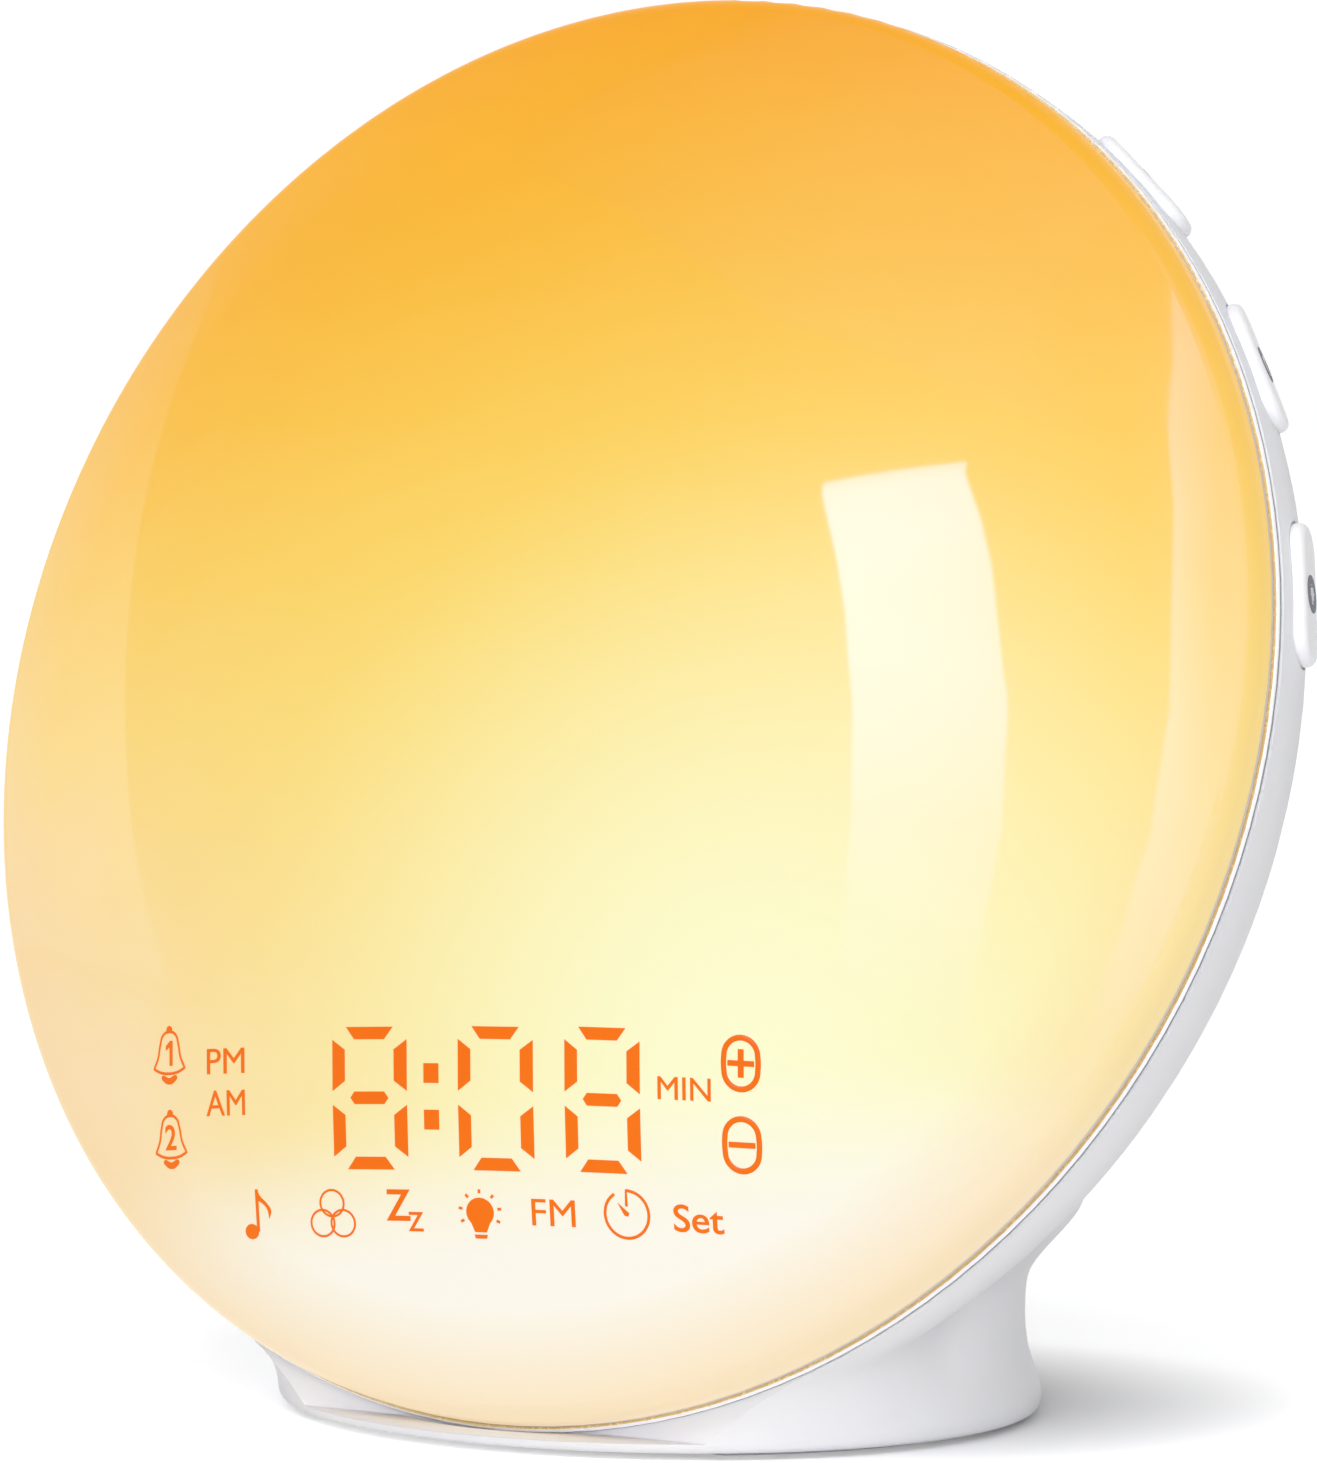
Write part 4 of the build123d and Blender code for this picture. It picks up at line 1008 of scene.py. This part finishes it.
def markKey(key, drawParts):
    middle, across, along, outward = keyTop(key)

    def onKey(x, y, height):
        return middle + x * across + y * along + (height + keyMarks["lift"]) * outward

    def onDot(x, y, height):
        return onKey(x, y, height + keyMarks["stack"])

    dot = fill(ring(0, 0, keyMarks["dot"][0] / 2, 24))
    layShape(key + "_dot", [dot], keyMarks["dot"], (0, 0), onKey, darkInk, key)
    layShape(key + "_figure", drawParts(), keyMarks["figure"], (0, 0), onDot, paleInk, key)


for key, drawParts in keyFigures.items():
    markKey(key, drawParts)
print("key symbols laid")

# Floor with a painted shadow pool around the foot, and a plain bright room
room = {
    "floorSize": 30.0,
    "floorColour": 0.92,
    "floorSockets": {"Roughness": 0.9, "Specular IOR Level": 0.1},
    "worldLight": 0.39,
    "shadowPoolMiddle": (0.015, 0.015, 0),   # middle of a painted shadow pool: the floor's own light is kept low near this spot and grows outwards
    "glowNear": (0.026, 0.0),           # distance and strength
    "glowFar": (0.058, 0.54),
    "glowHorizon": (1.2, 0.7),
}


# True for rays that see the room, not for those that light the object
def seesRoom(tree):
    kinds = addNode(tree, "ShaderNodeLightPath").outputs
    return mathOf(tree, "MAXIMUM", kinds["Is Camera Ray"],
                  mathOf(tree, "MAXIMUM", kinds["Is Glossy Ray"], kinds["Is Transmission Ray"]))


def makeFloor():
    mesh = bpy.data.meshes.new("floorSheet")
    half = room["floorSize"] / 2
    mesh.from_pydata([(-half, -half, 0), (half, -half, 0), (half, half, 0), (-half, half, 0)], [], [(0, 1, 2, 3)])
    floor = addObject("floorSheet", mesh)
    material, tree, shader = startMaterial("paperFloor", room["floorSockets"])
    away = addNode(tree, "ShaderNodeVectorMath", {0: objectPlace(tree), 1: room["shadowPoolMiddle"]},
                   operation="DISTANCE").outputs["Value"]
    near, far, horizon = room["glowNear"], room["glowFar"], room["glowHorizon"]
    # Painted shadow pool: the floor's own light is low near the foot and grows outwards, so the floor stays darker
    # there
    glow = mathOf(tree, "MAXIMUM", ramp(tree, away, near[0], far[0], near[1], far[1]),
                  ramp(tree, away, far[0], horizon[0], 0.0, horizon[1]))
    feed(tree, shader, {"Base Color": grey(room["floorColour"]), "Emission Color": grey(1.0),
                        "Emission Strength": mathOf(tree, "MULTIPLY", seesRoom(tree), glow)})
    mesh.materials.append(material)


def makeWorld():
    world = bpy.data.worlds.new("brightRoom")
    bpy.context.scene.world = world
    world.use_nodes = True
    tree = world.node_tree
    feed(tree, tree.nodes["Background"], {
        "Color": grey(1.0), "Strength": ramp(tree, seesRoom(tree), 0.0, 1.0, room["worldLight"], 1.0)})


makeFloor()
makeWorld()

# Soft boxes, turned towards the disc
lamps = {
    "frontLight": {"azimuth": 33, "elevation": 8, "distance": 2.2, "size": 0.9, "power": 22.0},
    "topLight": {"azimuth": 12, "elevation": 56, "distance": 2.2, "size": 1.1, "power": 16.0},
}


# Azimuth runs from the front towards the right
def fromFront(azimuth, elevation, distance):
    turn, rise = math.radians(azimuth), math.radians(elevation)
    return discCentre + distance * Vector((math.sin(turn) * math.cos(rise), -math.cos(turn) * math.cos(rise),
                                           math.sin(rise)))


def softBox(name, look):
    lamp = bpy.data.lights.new(name, "AREA")
    lamp.shape = "SQUARE"
    lamp.size = look["size"]
    lamp.energy = look["power"]
    box = addObject(name, lamp)
    box.location = fromFront(look["azimuth"], look["elevation"], look["distance"])
    box.rotation_euler = (discCentre - box.location).to_track_quat("-Z", "Y").to_euler()
    box.visible_glossy = False


for name, look in lamps.items():
    softBox(name, look)

# Cards that only gloss sees. Rows from left to right edge: azimuth, elevation and brightness
cards = {
    "distance": 6.0,
    "rows": {
        "windowCard": ((0.46, (-14.6, 42.0, 38), (-1.2, 45.4, 38)), (0.46, (-14.3, 41.2, 53), (-1.0, 44.5, 53)),
                       (0.44, (-10.6, 37.0, 50), (2.0, 41.0, 50)), (0.42, (-8.2, 33.2, 43), (4.1, 37.5, 43)),
                       (0.34, (-5.3, 26.2, 31), (7.6, 27.3, 31)), (0.28, (-3.8, 18.6, 15), (8.3, 18.6, 15)),
                       (0.28, (-3.4, 12.1, 6), (7.2, 9.2, 6)), (0.5, (-3.2, 6.0, 1), (6.2, 3.0, 1))),
        "rightCard": ((0.45, (11.3, 64.2, 14), (14.0, 65.0, 6), (22.0, 68.0, 4), (50.0, 74.0, 2)),
                      (0.44, (17.2, 54.8, 23), (20.5, 56.0, 8), (37.0, 61.0, 6), (60.0, 66.0, 4)),
                      (0.42, (20.1, 43.0, 27), (23.0, 43.7, 8), (40.0, 48.0, 7), (64.0, 52.0, 5)),
                      (0.38, (20.9, 27.9, 24), (23.6, 28.0, 7), (40.0, 28.0, 7), (64.0, 28.0, 5)),
                      (0.32, (19.8, 18.3, 16), (22.2, 17.7, 6), (38.0, 14.0, 5), (62.0, 12.0, 4)),
                      (0.28, (17.8, 11.7, 10), (20.4, 11.0, 5), (35.0, 7.0, 4), (58.0, 5.0, 3)),
                      (0.28, (15.6, 6.0, 5), (18.2, 5.4, 3), (30.0, 3.0, 2), (52.0, 2.0, 2)),
                      (0.6, (13.4, 0.6, 2), (16.0, 0.5, 2), (26.0, 0.4, 1), (46.0, 0.4, 1))),
        "leftCard": ((0.8, (-110.0, 8.0, 1.1), (-99.2, 29.6, 1.4)), (0.8, (-103.0, 5.0, 1.4), (-93.3, 26.3, 2)),
                     (0.8, (-96.0, 3.0, 1.8), (-87.5, 22.5, 3)), (0.75, (-90.0, 1.5, 2.1), (-80.4, 17.2, 3.8)),
                     (0.7, (-84.0, 1.0, 2.3), (-75.2, 12.5, 4.6)), (0.7, (-76.0, 0.8, 2.3), (-69.9, 7.0, 4.6)),
                     (0.7, (-68.0, 0.6, 1), (-64.0, 1.2, 2.5))),
        "topCard": ((0.6, (-82.0, 46.0, 1), (-82.0, 68.0, 1)), (0.45, (-60.0, 52.0, 1.6), (-60.0, 74.0, 3)),
                    (0.4, (-30.0, 52.0, 2.2), (-30.0, 74.0, 4)), (0.4, (0.0, 50.0, 2.4), (0.0, 74.0, 4)),
                    (0.6, (10.0, 48.0, 1.2), (10.0, 74.0, 2))),
    },
    "redShare": 0.75,       # of the green share
}


# A row starts with its share of green, its red follows from that, and blue is whole
def makeCard(name, rows):
    mesh = bpy.data.meshes.new(name)
    spots = [spot for row in rows for spot in row[1:]]
    wide = len(rows[0]) - 1
    faces = [(row * wide + step, row * wide + step + 1, (row + 1) * wide + step + 1, (row + 1) * wide + step)
             for row in range(len(rows) - 1) for step in range(wide - 1)]
    mesh.from_pydata([fromFront(turn, rise, cards["distance"]) for turn, rise, light in spots], [], faces)
    tones = []
    for row in rows:
        for turn, rise, light in row[1:]:
            tones += [light * row[0] * cards["redShare"], light * row[0], light, 1.0]
    mesh.attributes.new("shine", "FLOAT_COLOR", "POINT").data.foreach_set("color", tones)
    piece = addObject(name, mesh)
    material = bpy.data.materials.new(name)
    material.use_nodes = True
    tree = material.node_tree
    tree.nodes.clear()
    shine = addNode(tree, "ShaderNodeAttribute", attribute_name="shine").outputs["Color"]
    light = addNode(tree, "ShaderNodeEmission", {"Color": shine})
    addNode(tree, "ShaderNodeOutputMaterial", {"Surface": light.outputs[0]})
    mesh.materials.append(material)
    piece.visible_camera = piece.visible_diffuse = piece.visible_shadow = False
    piece.visible_transmission = piece.visible_volume_scatter = False


for name, rows in cards["rows"].items():
    makeCard(name, rows)
print("lights set")

# Camera: front right, a little above the middle of the disc
view = {
    "azimuth": math.radians(32.9),
    "elevation": math.radians(2.6),
    "target": Vector((0, -10 * mm, 86 * mm)),
    "distance": 809 * mm,
    "aimRight": 5.48 * mm,
    "aimDown": 4.23 * mm,
    "lens": 167.65,
    "sensor": 36.0,
}
back = Vector((math.sin(view["azimuth"]) * math.cos(view["elevation"]),
               -math.cos(view["azimuth"]) * math.cos(view["elevation"]), math.sin(view["elevation"])))
right = Vector((math.cos(view["azimuth"]), math.sin(view["azimuth"]), 0))
camera = addObject("camera", bpy.data.cameras.new("camera"))
camera.data.lens = view["lens"]
camera.data.sensor_width = view["sensor"]
camera.location = view["target"] + view["distance"] * back
aim = view["target"] + view["aimRight"] * right - view["aimDown"] * back.cross(right)
camera.rotation_euler = (aim - camera.location).to_track_quat("-Z", "Y").to_euler()
bpy.context.scene.camera = camera
bpy.context.scene.view_settings.view_transform = "Standard"
